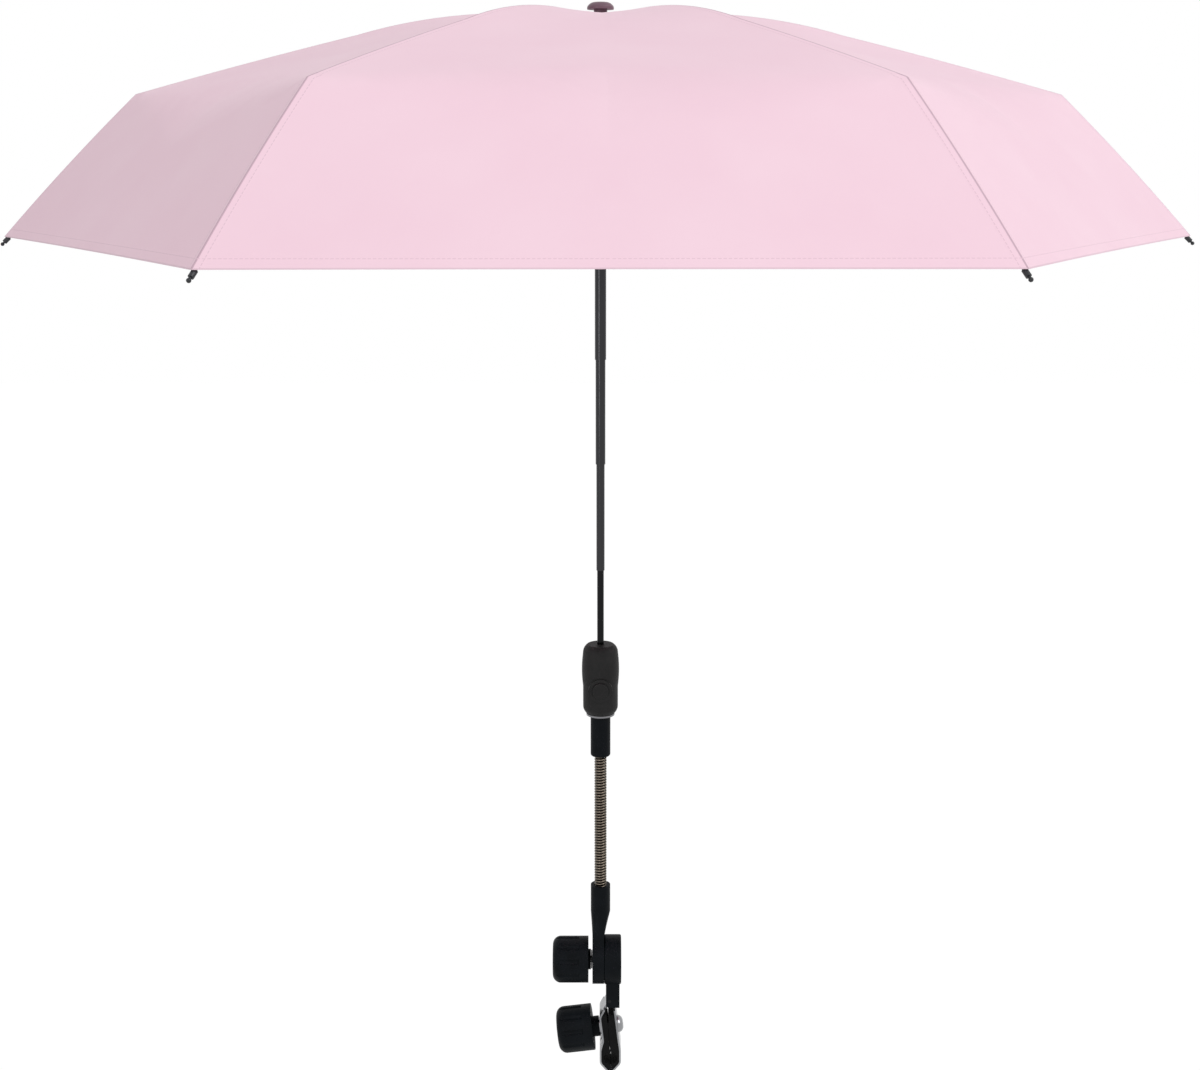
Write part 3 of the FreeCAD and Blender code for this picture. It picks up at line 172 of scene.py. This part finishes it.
# ABS from a smoother tool: the button is darker and catches a little more light than the grip.
button_abs = moulded("moulded black ABS", "#151515", "#1A1A1A", smooth=0.4, rough=0.55,
                     grain=0.0014, depth=0.00008, specular=0.2)
# Nitrile rubber, moulded: dead black, with a bloom that takes its shine away.
pad_rubber = moulded("moulded nitrile rubber", "#0B0B0C", "#121213", smooth=0.6, rough=0.8,
                     grain=0.0011, depth=0.00015, specular=0.1)
# The same rubber, extruded as the core of the hose: it is only a shadow between the turns.
core_rubber = moulded("extruded nitrile rubber", "#0A0A0B", "#0F0F10", smooth=0.6, rough=0.8,
                      grain=0.0011, depth=0.0001, specular=0.1)
# Unfilled nylon, moulded: a dark grey with the slight gloss of a small polished tool.
tip_nylon = moulded("moulded grey nylon", "#28292C", "#333438", smooth=0.3, rough=0.45,
                    grain=0.0011, depth=0.00006, specular=0.3)
# Acetal, moulded: a dark mauve, smooth enough for a soft shine on its dome.
cap_acetal = moulded("moulded mauve acetal", "#684E5A", "#785D69", smooth=0.3, rough=0.5,
                     grain=0.0011, depth=0.00006, specular=0.3)

# The marks of drawing and rolling are some 0.02 mm wide. They are drawn at 1.7 to 3.3 mm, or they wouldn't
# show.
# Drawn tube in black nickel: a dark mirror with hair lines along it.
tube_steel = plated("drawn black nickel steel", "#303032", "#414143", smooth=0.14, rough=0.24,
                    grain=0.002, draw=20)
# Drawn small fittings, blackened in hot oxide: nearly black, with the same hair lines. The bottom tube of the
# shaft takes this darker steel as painted shade; it is the same black nickel tube as the others.
dark_steel_and_tube_shade = plated("drawn blackened steel and painted tube shade", "#1A1A1B", "#272728", smooth=0.16, rough=0.28,
                    grain=0.002, draw=20)
# Rolled spring strip, blackened in hot oxide: a dark grey metal with a dull shine.
rib_steel = plated("rolled blackened steel", "#3A3A3D", "#4A4A4D", smooth=0.3, rough=0.45,
                   grain=0.002, draw=1)
# Drawn music wire, left bright: a plain light grey.
spring_steel = plated("drawn music wire", "#9A9A9C", "#B0B0B2", smooth=0.25, rough=0.35,
                      grain=0.0017, draw=1)
# Pressed sheet in zinc that has dulled: a middle grey, with the soft crystals of the plating.
zinc_steel = plated("pressed zinc-plated steel", "#7E7F82", "#A6A7A9", smooth=0.16, rough=0.3,
                    grain=0.0033, draw=1)
# Turned ring in smoky chrome: a grey mirror, the clearest on the object.
ring_chrome = plated("turned chrome-plated steel", "#707073", "#858588", smooth=0.08, rough=0.16,
                     grain=0.0033, draw=1)


def wound_nickel():
    """Wire plated in brownish black nickel before winding, with painted shade darkening the inside of each
    turn, in the grooves between the turns. Groove is 0 on the outside of a turn and 1 on its inside."""
    made, tree = blank_material("wound black nickel wire", "#7F766A")
    place = node(tree, "ShaderNodeTexCoord")
    marks = node(tree, "ShaderNodeTexNoise", {"Scale": 1 / 0.0017, "Detail": 4.0},
                 {"Vector": place.outputs["Object"]})
    bloom = node(tree, "ShaderNodeTexNoise", {"Scale": 1 / 0.023, "Detail": 3.0},
                 {"Vector": place.outputs["Object"]})
    clean = node(tree, "ShaderNodeMix",
                 {"data_type": "RGBA", "A": linear("#675F55"), "B": linear("#7F766A")},
                 {"Factor": bloom.outputs["Fac"]})
    # Painted shade: towards the inside of each turn, in the grooves between turns, the wire is darkened
    # almost to black.
    depth = node(tree, "ShaderNodeAttribute", {"attribute_name": "groove"})
    painted_groove_shade = node(tree, "ShaderNodeMapRange", {"From Min": 0.08, "From Max": 0.36},
                {"Value": depth.outputs["Fac"]})
    tint = node(tree, "ShaderNodeMix", {"data_type": "RGBA", "B": linear("#171512")},
                {"Factor": painted_groove_shade.outputs["Result"], "A": clean.outputs["Result"]})
    gloss = node(tree, "ShaderNodeMapRange", {"To Min": 0.2, "To Max": 0.32},
                 {"Value": marks.outputs["Fac"]})
    shader = node(tree, "ShaderNodeBsdfPrincipled", {"Metallic": 1.0},
                  {"Base Color": tint.outputs["Result"], "Roughness": gloss.outputs["Result"]})
    node(tree, "ShaderNodeOutputMaterial", {}, {"Surface": shader.outputs["BSDF"]})
    return made


hose_nickel = wound_nickel()


def coated_pongee():
    """Woven polyester pongee with a coating: a dull, even pink with a breath of sheen. It is seamed along
    each rib and turned up at the hem, with a row of stitches beside both. U runs across from the rib and V up
    from the hem, in metres."""
    made, tree = blank_material("coated polyester pongee", "#F2D1DF")
    cloth_uv = node(tree, "ShaderNodeUVMap")
    from_rib_and_hem = node(tree, "ShaderNodeSeparateXYZ", {}, {"Vector": cloth_uv.outputs["UV"]})
    from_rib, from_hem = from_rib_and_hem.outputs["X"], from_rib_and_hem.outputs["Y"]

    # The dye takes a little unevenly, in patches about 110 mm across.
    patches = node(tree, "ShaderNodeTexNoise", {"Scale": 1 / 0.11, "Detail": 3.0},
                   {"Vector": cloth_uv.outputs["UV"]})
    dyed = node(tree, "ShaderNodeMapRange", {"From Min": 0.35, "From Max": 0.65},
                {"Value": patches.outputs["Fac"]})
    pink = node(tree, "ShaderNodeMix", {"data_type": "RGBA", "A": linear("#F2D0DE"), "B": linear("#F4D4E1")},
                {"Factor": dyed.outputs["Result"]})

    # Both gores meet in a crease 1.8 mm wide, which is darkened as painted shade, and the hem's edge is
    # darkened 1.2 mm deep as painted shade.
    # Painted shade: the cloth darkens in the crease along each rib.
    crease_shade = node(tree, "ShaderNodeMapRange",
                  {"interpolation_type": "SMOOTHSTEP", "From Min": 0.0012, "From Max": 0.0006, "To Max": 0.7},
                  {"Value": from_rib})
    crease_shaded = node(tree, "ShaderNodeMix", {"data_type": "RGBA", "B": linear("#B294A3")},
                   {"Factor": crease_shade.outputs["Result"], "A": pink.outputs["Result"]})
    # Painted shade: the cloth darkens along the hem's edge.
    hem_edge_shade = node(tree, "ShaderNodeMapRange",
                {"interpolation_type": "SMOOTHSTEP", "From Min": 0.0016, "From Max": 0.0008, "To Max": 0.5},
                {"Value": from_hem})
    hem_edge_shaded = node(tree, "ShaderNodeMix", {"data_type": "RGBA", "B": linear("#C9B0BB")},
                 {"Factor": hem_edge_shade.outputs["Result"], "A": crease_shaded.outputs["Result"]})

    # Stitches 2 mm long every 3 mm. The thread is 0.25 mm thick and is drawn 0.6 mm, or it wouldn't show.
    seam_row = node(tree, "ShaderNodeMath", {"operation": "COMPARE", 1: 0.0045, 2: 0.0003}, {0: from_rib})
    seam_step = node(tree, "ShaderNodeMath", {"operation": "MODULO", 1: 0.003}, {0: from_hem})
    seam_stitch = node(tree, "ShaderNodeMath", {"operation": "LESS_THAN", 1: 0.002},
                       {0: seam_step.outputs["Value"]})
    seam_thread = node(tree, "ShaderNodeMath", {"operation": "MULTIPLY"},
                       {0: seam_row.outputs["Value"], 1: seam_stitch.outputs["Value"]})
    hem_row = node(tree, "ShaderNodeMath", {"operation": "COMPARE", 1: 0.0081, 2: 0.0003}, {0: from_hem})
    hem_step = node(tree, "ShaderNodeMath", {"operation": "MODULO", 1: 0.003}, {0: from_rib})
    hem_stitch = node(tree, "ShaderNodeMath", {"operation": "LESS_THAN", 1: 0.002},
                      {0: hem_step.outputs["Value"]})
    hem_thread = node(tree, "ShaderNodeMath", {"operation": "MULTIPLY"},
                      {0: hem_row.outputs["Value"], 1: hem_stitch.outputs["Value"]})
    thread = node(tree, "ShaderNodeMath", {"operation": "MAXIMUM"},
                  {0: seam_thread.outputs["Value"], 1: hem_thread.outputs["Value"]})
    stitched = node(tree, "ShaderNodeMix", {"data_type": "RGBA", "B": linear("#E3C2D0")},
                    {"Factor": thread.outputs["Value"], "A": hem_edge_shaded.outputs["Result"]})

    # The seam and the hem are of doubled cloth, 5.5 and 9 mm wide, and stand a little proud.
    seam_fold = node(tree, "ShaderNodeMapRange",
                     {"interpolation_type": "SMOOTHSTEP", "From Min": 0.006, "From Max": 0.005},
                     {"Value": from_rib})
    hem_fold = node(tree, "ShaderNodeMapRange",
                    {"interpolation_type": "SMOOTHSTEP", "From Min": 0.0095, "From Max": 0.0085},
                    {"Value": from_hem})
    doubled = node(tree, "ShaderNodeMath", {"operation": "MAXIMUM"},
                   {0: seam_fold.outputs["Result"], 1: hem_fold.outputs["Result"]})
    # Where it is less taut it lies in shallow waves about 40 mm across.
    waves = node(tree, "ShaderNodeTexNoise", {"Scale": 1 / 0.04, "Detail": 2.0},
                 {"Vector": cloth_uv.outputs["UV"]})
    # The threads are 0.12 mm apart and are drawn 0.6 mm apart, or they wouldn't show.
    threads = 2 * math.pi / 20 / 0.0006
    warp = node(tree, "ShaderNodeTexWave", {"bands_direction": "X", "Scale": threads, "Distortion": 0.4},
                {"Vector": cloth_uv.outputs["UV"]})
    weft = node(tree, "ShaderNodeTexWave", {"bands_direction": "Y", "Scale": threads, "Distortion": 0.4},
                {"Vector": cloth_uv.outputs["UV"]})
    woven = node(tree, "ShaderNodeMath", {"operation": "MULTIPLY"},
                 {0: warp.outputs["Fac"], 1: weft.outputs["Fac"]})
    slack = node(tree, "ShaderNodeBump", {"Strength": 0.2, "Distance": 0.0012},
                 {"Height": waves.outputs["Fac"]})
    folded = node(tree, "ShaderNodeBump", {"Strength": 0.3, "Distance": 0.0002},
                  {"Height": doubled.outputs["Value"], "Normal": slack.outputs["Normal"]})
    surface = node(tree, "ShaderNodeBump", {"Strength": 0.25, "Distance": 0.0001},
                   {"Height": woven.outputs["Value"], "Normal": folded.outputs["Normal"]})
    shader = node(tree, "ShaderNodeBsdfPrincipled",
                  {"Roughness": 0.62, "Specular IOR Level": 0.2,
                   "Sheen Weight": 0.12, "Sheen Roughness": 0.4},
                  {"Base Color": stitched.outputs["Result"], "Normal": surface.outputs["Normal"]})
    node(tree, "ShaderNodeOutputMaterial", {}, {"Surface": shader.outputs["BSDF"]})
    return made


canopy_pongee = coated_pongee()


def bowed(start, slope, length, bow, share, rise):
    """A point over a bowed rib, as (distance from the shaft, height)."""
    radius = (length ** 2 / 4 + bow ** 2) / (2 * bow)
    turn = math.asin(length / 2 / radius) * (1 - 2 * share)
    along = length / 2 - (radius + rise) * math.sin(turn)
    lift = bow - radius + (radius + rise) * math.cos(turn)
    a = math.radians(slope)
    return (start[0] + along * math.cos(a) - lift * math.sin(a),
            start[1] + along * math.sin(a) + lift * math.cos(a))


crown_pivot = (CROWN_RADIUS, CROWN_HEIGHT)
knee = bowed(crown_pivot, INNER_SLOPE, INNER_LENGTH, INNER_BOW, 1, 0)
elbow = bowed(knee, MIDDLE_SLOPE, MIDDLE_LENGTH, MIDDLE_BOW, 1, -ELBOW_DROP)
outer_turn = math.radians(OUTER_SLOPE)
elbow_cloth = bowed(knee, MIDDLE_SLOPE, MIDDLE_LENGTH, MIDDLE_BOW, 1 + ELBOW_PAST / MIDDLE_LENGTH, CLOTH_RISE)
corner_reach = OUTER_LENGTH - CORNER_BACK
corner = (elbow[0] + corner_reach * math.cos(outer_turn) - CORNER_RISE * math.sin(outer_turn),
          elbow[1] + corner_reach * math.sin(outer_turn) + CORNER_RISE * math.cos(outer_turn))


def rib_line(level):
    """Where the cloth passes over a rib. Level runs 0 to 1 over the crown, to 2 along the inner rib, to 3
    along the middle rib and to 4 down to the corner."""
    if level < CROWN_FLAT:
        flat = bowed(crown_pivot, INNER_SLOPE, INNER_LENGTH, INNER_BOW, 0, CLOTH_RISE)
        return (CLOTH_HOLE + (flat[0] - CLOTH_HOLE) * level / CROWN_FLAT, flat[1])
    if level <= 1:
        share = CROWN_END * (level - CROWN_FLAT) / (1 - CROWN_FLAT)
        return bowed(crown_pivot, INNER_SLOPE, INNER_LENGTH, INNER_BOW, share, CLOTH_RISE)
    if level <= 2:
        share = CROWN_END + (1 - CROWN_END) * (level - 1)
        return bowed(crown_pivot, INNER_SLOPE, INNER_LENGTH, INNER_BOW, share, CLOTH_RISE)
    if level <= 3:
        share = (level - 2) * (1 + ELBOW_PAST / MIDDLE_LENGTH)
        return bowed(knee, MIDDLE_SLOPE, MIDDLE_LENGTH, MIDDLE_BOW, share, CLOTH_RISE)
    share = level - 3
    bulge = CLOTH_BULGE * 4 * share * (1 - share)
    return (elbow_cloth[0] + (corner[0] - elbow_cloth[0]) * share - bulge * math.sin(outer_turn),
            elbow_cloth[1] + (corner[1] - elbow_cloth[1]) * share + bulge * math.cos(outer_turn))


def eased_line(level, across):
    """The rib's line, rounded off where the cloth spans freely from rib to rib."""
    room = min(EASED * across, level, HEM_LEVEL - level)
    spots = [rib_line(level + room * k) for k in (-1, -0.5, 0, 0.5, 1)]
    return [sum(spot[i] for spot in spots) / 5 for i in (0, 1)]


def cloth_point(level, across):
    """A point of the gore between the rib at +X (across 0) and the middle of the gore (across 1)."""
    r, z = eased_line(min(max(level, 0), HEM_LEVEL), across)
    share = r / corner[0]
    turn = math.pi / RIBS
    recess = HEM_RECESS * share ** 3
    sag = CLOTH_SAG * 4 * share * max(1 - share, 0) * min(share / CROWN_SHARE, 1)
    dip = across * (2 - across)
    middle = r * math.cos(turn)
    x = r + (middle * math.cos(turn) - r) * across - recess * dip * math.cos(turn)
    y = middle * math.sin(turn) * across - recess * dip * math.sin(turn)
    return Vector((x, y, z - sag * dip))


def cloth_normal(level, across):
    """The way that the cloth faces at such a point, always upwards."""
    step = 0.004
    low, high = max(level - step, 0), min(level + step, HEM_LEVEL)
    near, far = max(across - step, 0), min(across + step, 1)
    down = cloth_point(high, across) - cloth_point(low, across)
    out = cloth_point(level, far) - cloth_point(level, near)
    normal = down.cross(out).normalized()
    return normal if normal.z > 0 else -normal


# The cloth is cut square to the ribs at the knees and elbows, so that the lengths fold beside each other.
# A cut moves this far towards the hem, in levels, between the rib and the middle of the gore.
CUT_SLANTS = {2: 0.32, 3: 0.42}
GORE_COLUMNS = 12
# Each length of cloth: its first and last cut, its rows, what it lies on, the body it goes with, the share of
# its width that is left when it is folded, and how far beside its rib it is then gathered.
CROWN_CLOTH = ("crown", 0, 1, 6, "top_notch", "head", 1, 0)
INNER_CLOTH = ("inner", 1, 2, 24, "inner_rib", "inner_rib", 0.05, 0.0045)
MIDDLE_CLOTH = ("middle", 2, 3, 18, "middle_rib", "middle_rib", 0.02, 0.0075)
OUTER_CLOTH = ("outer", 3, HEM_LEVEL, 16, "outer_rib", "outer_rib", 0.13, 0)
# The line along which folding would draw the cloth in starts from this share of its length in the middle of
# the gore; it is worked out but not used.
GATHER_FROM = 0.85


def cut_level(first, last, across, share):
    """The level at a share of the way from one cut to another."""
    above = first + CUT_SLANTS.get(first, 0) * across
    below = last + CUT_SLANTS.get(last, 0) * across
    return above + (below - above) * share


def half_gore(first, last, rows, side):
    """Half a gore's length of cloth beside the rib at +X, from one cut to another."""
    bpy.ops.object.select_all(action="DESELECT")
    bpy.ops.mesh.primitive_grid_add(x_subdivisions=GORE_COLUMNS, y_subdivisions=rows, size=2)
    piece = bpy.context.object
    mesh = piece.data
    hem = rib_line(HEM_LEVEL)
    normals = []
    spots = []
    for vertex in mesh.vertices:
        across = (vertex.co.x + 1) / 2
        level = cut_level(first, last, across, (vertex.co.y + 1) / 2)
        point, normal = cloth_point(level, across), cloth_normal(level, across)
        r, z = rib_line(level)
        spots.append((across * r * math.sin(math.pi / RIBS), math.hypot(hem[0] - r, hem[1] - z)))
        vertex.co = (point.x, point.y * side, point.z)
        normals.append((normal.x, normal.y * side, normal.z))
    for loop in mesh.loops:
        mesh.uv_layers[0].data[loop.index].uv = spots[loop.vertex_index]
    if side > 0:
        mesh.flip_normals()
    mesh.shade_smooth()
    mesh.normals_split_custom_set_from_vertices(normals)
    mesh.materials.append(canopy_pongee)
    return piece


def gather(piece, side, first, last):
    """Gives the piece a mesh of its own. The line square to the rib's length, along which folding would draw
    the cloth in to its rib, is worked out but not used.
    """
    along = (cloth_point(last, 0) - cloth_point(first, 0)).normalized()
    across = cloth_point(cut_level(first, last, 1, GATHER_FROM), 1) - cloth_point(last, 0)
    axis = (across - along * across.dot(along)).normalized()
    axis.y *= side
    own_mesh(piece)


def make_canopy():
    """Six gores in halves, each half in four lengths that go with the crown and the parts of its rib."""
    for length, first, last, rows, bearer, body, keep, beside in (
            CROWN_CLOTH, INNER_CLOTH, MIDDLE_CLOTH, OUTER_CLOTH):
        for side, letter in ((1, "a"), (-1, "b")):
            pattern = half_gore(first, last, rows, side)
            for rib in range(1, RIBS + 1):
                turn = RIB_TURN + 2 * math.pi * (rib - 1) / RIBS
                place = Matrix.Translation((SHAFT_X, 0, 0)) @ Matrix.Rotation(turn, 4, "Z")
                piece = pattern.copy()
                piece.data = pattern.data.copy()
                piece.name = piece.data.name = f"canopy_{length}_{rib}{letter}"
                piece.data.transform(place)
                bpy.context.collection.objects.link(piece)
                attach(piece, body if body == "head" else f"{body}_{rib}")
                if keep < 1:
                    gather(piece, side, first, last)
                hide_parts("canopy")
            bpy.data.objects.remove(pattern)


def wound(name, radius, wire, turns, bottom, top, finish):
    """A coil of round wire about Z."""
    steps = 32
    curve = bpy.data.curves.new(name, "CURVE")
    curve.dimensions = "3D"
    curve.bevel_depth = wire / 2
    curve.bevel_resolution = 3
    curve.use_fill_caps = True
    spline = curve.splines.new("POLY")
    count = turns * steps
    spline.points.add(count)
    for k, point in enumerate(spline.points):
        angle = 2 * math.pi * k / steps
        height = bottom + (top - bottom) * k / count
        point.co = (radius * math.cos(angle), radius * math.sin(angle), height, 1)
    coil = bpy.data.objects.new(name, curve)
    bpy.context.collection.objects.link(coil)
    bpy.ops.object.select_all(action="DESELECT")
    coil.select_set(True)
    bpy.context.view_layer.objects.active = coil
    bpy.ops.object.convert(target="MESH")
    coil = bpy.context.object
    coil.data.shade_smooth()
    coil.data.materials.append(finish)
    return coil


def hose_coil(name, bottom, top):
    """One length of the coil, with the depth of its grooves kept for the painted groove shade in its finish.
    """
    coil = wound(name, HOSE_COIL_RADIUS, HOSE_WIRE, round(HOSE_TURNS / 2), bottom, top, hose_nickel)
    groove = coil.data.attributes.new("groove", "FLOAT", "POINT")
    outside = HOSE_COIL_RADIUS + HOSE_WIRE / 2
    for vertex in coil.data.vertices:
        groove.data[vertex.index].value = (outside - math.hypot(vertex.co.x, vertex.co.y)) / HOSE_WIRE
    return coil


def hose_core(name, bottom, top):
    """The rubber inside, ringed closely enough to bend with the coil, its ends rounded over."""
    sides, rings = 24, 24
    bpy.ops.object.select_all(action="DESELECT")
    bpy.ops.mesh.primitive_cylinder_add(vertices=sides, radius=HOSE_CORE_RADIUS, depth=top - bottom,
                                        location=(0, 0, (bottom + top) / 2))
    bpy.ops.object.transform_apply()
    core = bpy.context.object
    core.name = name
    bpy.ops.object.mode_set(mode="EDIT")
    bpy.ops.mesh.select_all(action="SELECT")
    bpy.ops.mesh.bevel(offset=0.0004, segments=2)
    for cut in range(1, rings):
        bpy.ops.mesh.select_all(action="SELECT")
        bpy.ops.mesh.bisect(plane_co=(0, 0, bottom + (top - bottom) * cut / rings), plane_no=(0, 0, 1))
    bpy.ops.object.mode_set(mode="OBJECT")
    core.data.shade_smooth()
    core.data.materials.append(core_rubber)
    return core


def make_hose():
    """The hose in two lengths, which meet in the middle and reach into the arm below and the handle above."""
    middle = (HOSE_BOTTOM + HOSE_TOP) / 2
    low, high = HOSE_BOTTOM - HOSE_INSERT, HOSE_TOP + HOSE_INSERT
    for length, bottom, top, first, second, start, end in (
            ("lower", low, middle, "arm", "hose", HOSE_BOTTOM, middle),
            ("upper", middle, high, "hose", "handle", middle, HOSE_TOP)):
        coil = hose_coil(f"hose_coil_{length}", bottom, top)
        core = hose_core(f"hose_core_{length}", bottom, top)
        for piece, replaced, slot in ((coil, "hose_coil", "hose_steel"), (core, "hose_core", "core_rubber")):
            piece.data.transform(Matrix.Translation((SHAFT_X, 0, 0)))
            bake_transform(piece)
            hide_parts(replaced)


def make_button_spring():
    """The coil behind the button, which is pressed together as the button goes in."""
    length = SPRING_BACK - SPRING_FRONT
    coil = wound("button_return_spring", SPRING_RADIUS, SPRING_WIRE, SPRING_TURNS, 0, length, spring_steel)
    back = (SHAFT_X, SPRING_BACK, BUTTON_HEIGHT)
    coil.data.transform(Matrix.Translation(back) @ Matrix.Rotation(math.pi / 2, 4, "X"))
    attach(coil, "handle")
    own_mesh(coil)
    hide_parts("button_spring")


def make_friction_disc():
    """The thin disc between the arm and the tilt head, which holds the tilt where it is set."""
    bpy.ops.object.select_all(action="DESELECT")
    bpy.ops.mesh.primitive_circle_add(vertices=96, radius=DISC_RADIUS)
    disc = bpy.context.object
    disc.name = "tilt_friction_disc"
    bpy.ops.object.mode_set(mode="EDIT")
    bpy.ops.mesh.select_all(action="SELECT")
    bpy.ops.mesh.extrude_edges_move()
    share = DISC_HOLE / DISC_RADIUS
    bpy.ops.transform.resize(value=(share, share, 1))
    bpy.ops.object.mode_set(mode="OBJECT")
    wall = disc.modifiers.new("wall", "SOLIDIFY")
    wall.thickness = DISC_THICKNESS
    wall.offset = 0
    bpy.ops.object.modifier_apply(modifier="wall")
    disc.data.transform(Matrix.Translation((DISC_X, 0, TILT_HEIGHT)) @ Matrix.Rotation(math.pi / 2, 4, "Y"))
    disc.data.materials.append(black_nylon)
    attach(disc, "clamp")


def finish_solids():
    """The finishes of the solids that show as they are."""
    ribs = range(1, RIBS + 1)
    finishes = {
        black_nylon: ["tilt_head", "tilt_arm", "tilt_knob", "clamp_knob", "upper_ferrule", "top_notch",
                      "runner"],
        charcoal_abs: ["handle"],
        button_abs: ["handle_button"],
        ring_chrome: ["handle_end_ring"],
        tube_steel: ["shaft_tube_1", "shaft_tube_2", "shaft_tube_3"],
        # The bottom tube is darker as painted shade; the pin and washer are blackened fittings.
        dark_steel_and_tube_shade: ["shaft_tube_4", "jaw_pin", "tilt_washer"],
        zinc_steel: ["fixed_jaw", "moving_jaw", "tilt_bolt", "clamp_bolt", "clamp_washer"],
        pad_rubber: ["fixed_pad", "moving_pad"],
        cap_acetal: ["crown_cap"],
        rib_steel: ["notch_wire"] + [f"{length}_{rib}" for rib in ribs
                                     for length in ("inner_rib", "middle_rib", "outer_rib", "stay")],
        tip_nylon: [f"rib_tip_{rib}" for rib in ribs]}
    for finish, names in finishes.items():
        for name in names:
            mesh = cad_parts[name].data
            mesh.materials.clear()
            mesh.materials.append(finish)


def make_camera():
    """The photograph's view, from the front and a little above. Its frame, focal length and shift are in
    pixels."""
    frame_width, focal_length, shift_x, shift_y = 1200, 1713.4, -0.5, -2
    looks_down = 12.4
    data = bpy.data.cameras.new("camera")
    data.sensor_width = 36
    data.lens = data.sensor_width * focal_length / frame_width
    data.shift_x = shift_x / frame_width
    data.shift_y = shift_y / frame_width
    camera = bpy.data.objects.new("camera", data)
    camera.location = (SHAFT_X, -1.3856, 0.7747)
    camera.rotation_euler = (math.radians(90 - looks_down), 0, 0)
    bpy.context.collection.objects.link(camera)
    bpy.context.scene.camera = camera


def seen_or_mirrored(tree):
    """1 for what the camera sees directly, in a mirror or through glass, and 0 for light on the object."""
    rays = node(tree, "ShaderNodeLightPath")
    mirrored = node(tree, "ShaderNodeMath", {"operation": "MAXIMUM"},
                    {0: rays.outputs["Is Glossy Ray"], 1: rays.outputs["Is Transmission Ray"]})
    seen = node(tree, "ShaderNodeMath", {"operation": "MAXIMUM"},
                {0: rays.outputs["Is Camera Ray"], 1: mirrored.outputs["Value"]})
    return seen.outputs["Value"]


def make_floor():
    """White paper that the camera, mirrors and glass see as plain white, and that still takes a shadow."""
    bpy.ops.object.select_all(action="DESELECT")
    bpy.ops.mesh.primitive_plane_add(size=16, location=(0, 5, -1.1))
    floor = bpy.context.object
    floor.name = "floor"
    made, tree = blank_material("white paper", "#F4F4F4")
    glow = node(tree, "ShaderNodeMapRange", {"To Max": 0.9}, {"Value": seen_or_mirrored(tree)})
    paper = node(tree, "ShaderNodeBsdfPrincipled", {"Base Color": linear("#F4F4F4"), "Roughness": 0.9})
    white = node(tree, "ShaderNodeEmission", {"Color": linear("#FFFFFF"), "Strength": 1.06})
    surface = node(tree, "ShaderNodeMixShader", {},
                   {"Fac": glow.outputs["Result"], 1: paper.outputs["BSDF"], 2: white.outputs["Emission"]})
    node(tree, "ShaderNodeOutputMaterial", {}, {"Surface": surface.outputs["Shader"]})
    floor.data.materials.append(made)


def make_light():
    """An even white room, a broad lamp above on the right and a slim one on the left."""
    world = bpy.data.worlds.new("studio")
    bpy.context.scene.world = world
    world.use_nodes = True
    tree = world.node_tree
    tree.nodes.clear()
    level = node(tree, "ShaderNodeMapRange", {"To Min": 0.54, "To Max": 1.0},
                 {"Value": seen_or_mirrored(tree)})
    room = node(tree, "ShaderNodeBackground", {"Color": linear("#FFFFFF")},
                {"Strength": level.outputs["Result"]})
    node(tree, "ShaderNodeOutputWorld", {}, {"Surface": room.outputs["Background"]})

    for name, place, aim, width, height, power in (
            ("right lamp", (2.5, -1.7, 3.2), (0, 0, 0.6), 2.2, 2.2, 76),
            ("left lamp", (-1.5, -2.6, 1.0), (0, 0, 0.4), 0.5, 1.8, 15)):
        data = bpy.data.lights.new(name, "AREA")
        data.shape = "RECTANGLE"
        data.size = width
        data.size_y = height
        data.energy = power
        lamp = bpy.data.objects.new(name, data)
        lamp.location = place
        lamp.rotation_euler = (Vector(aim) - Vector(place)).to_track_quat("-Z", "Y").to_euler()
        bpy.context.collection.objects.link(lamp)


make_camera()
finish_solids()
make_canopy()
make_hose()
make_button_spring()
make_friction_disc()
make_floor()
make_light()
bpy.context.scene.view_settings.view_transform = "Standard"
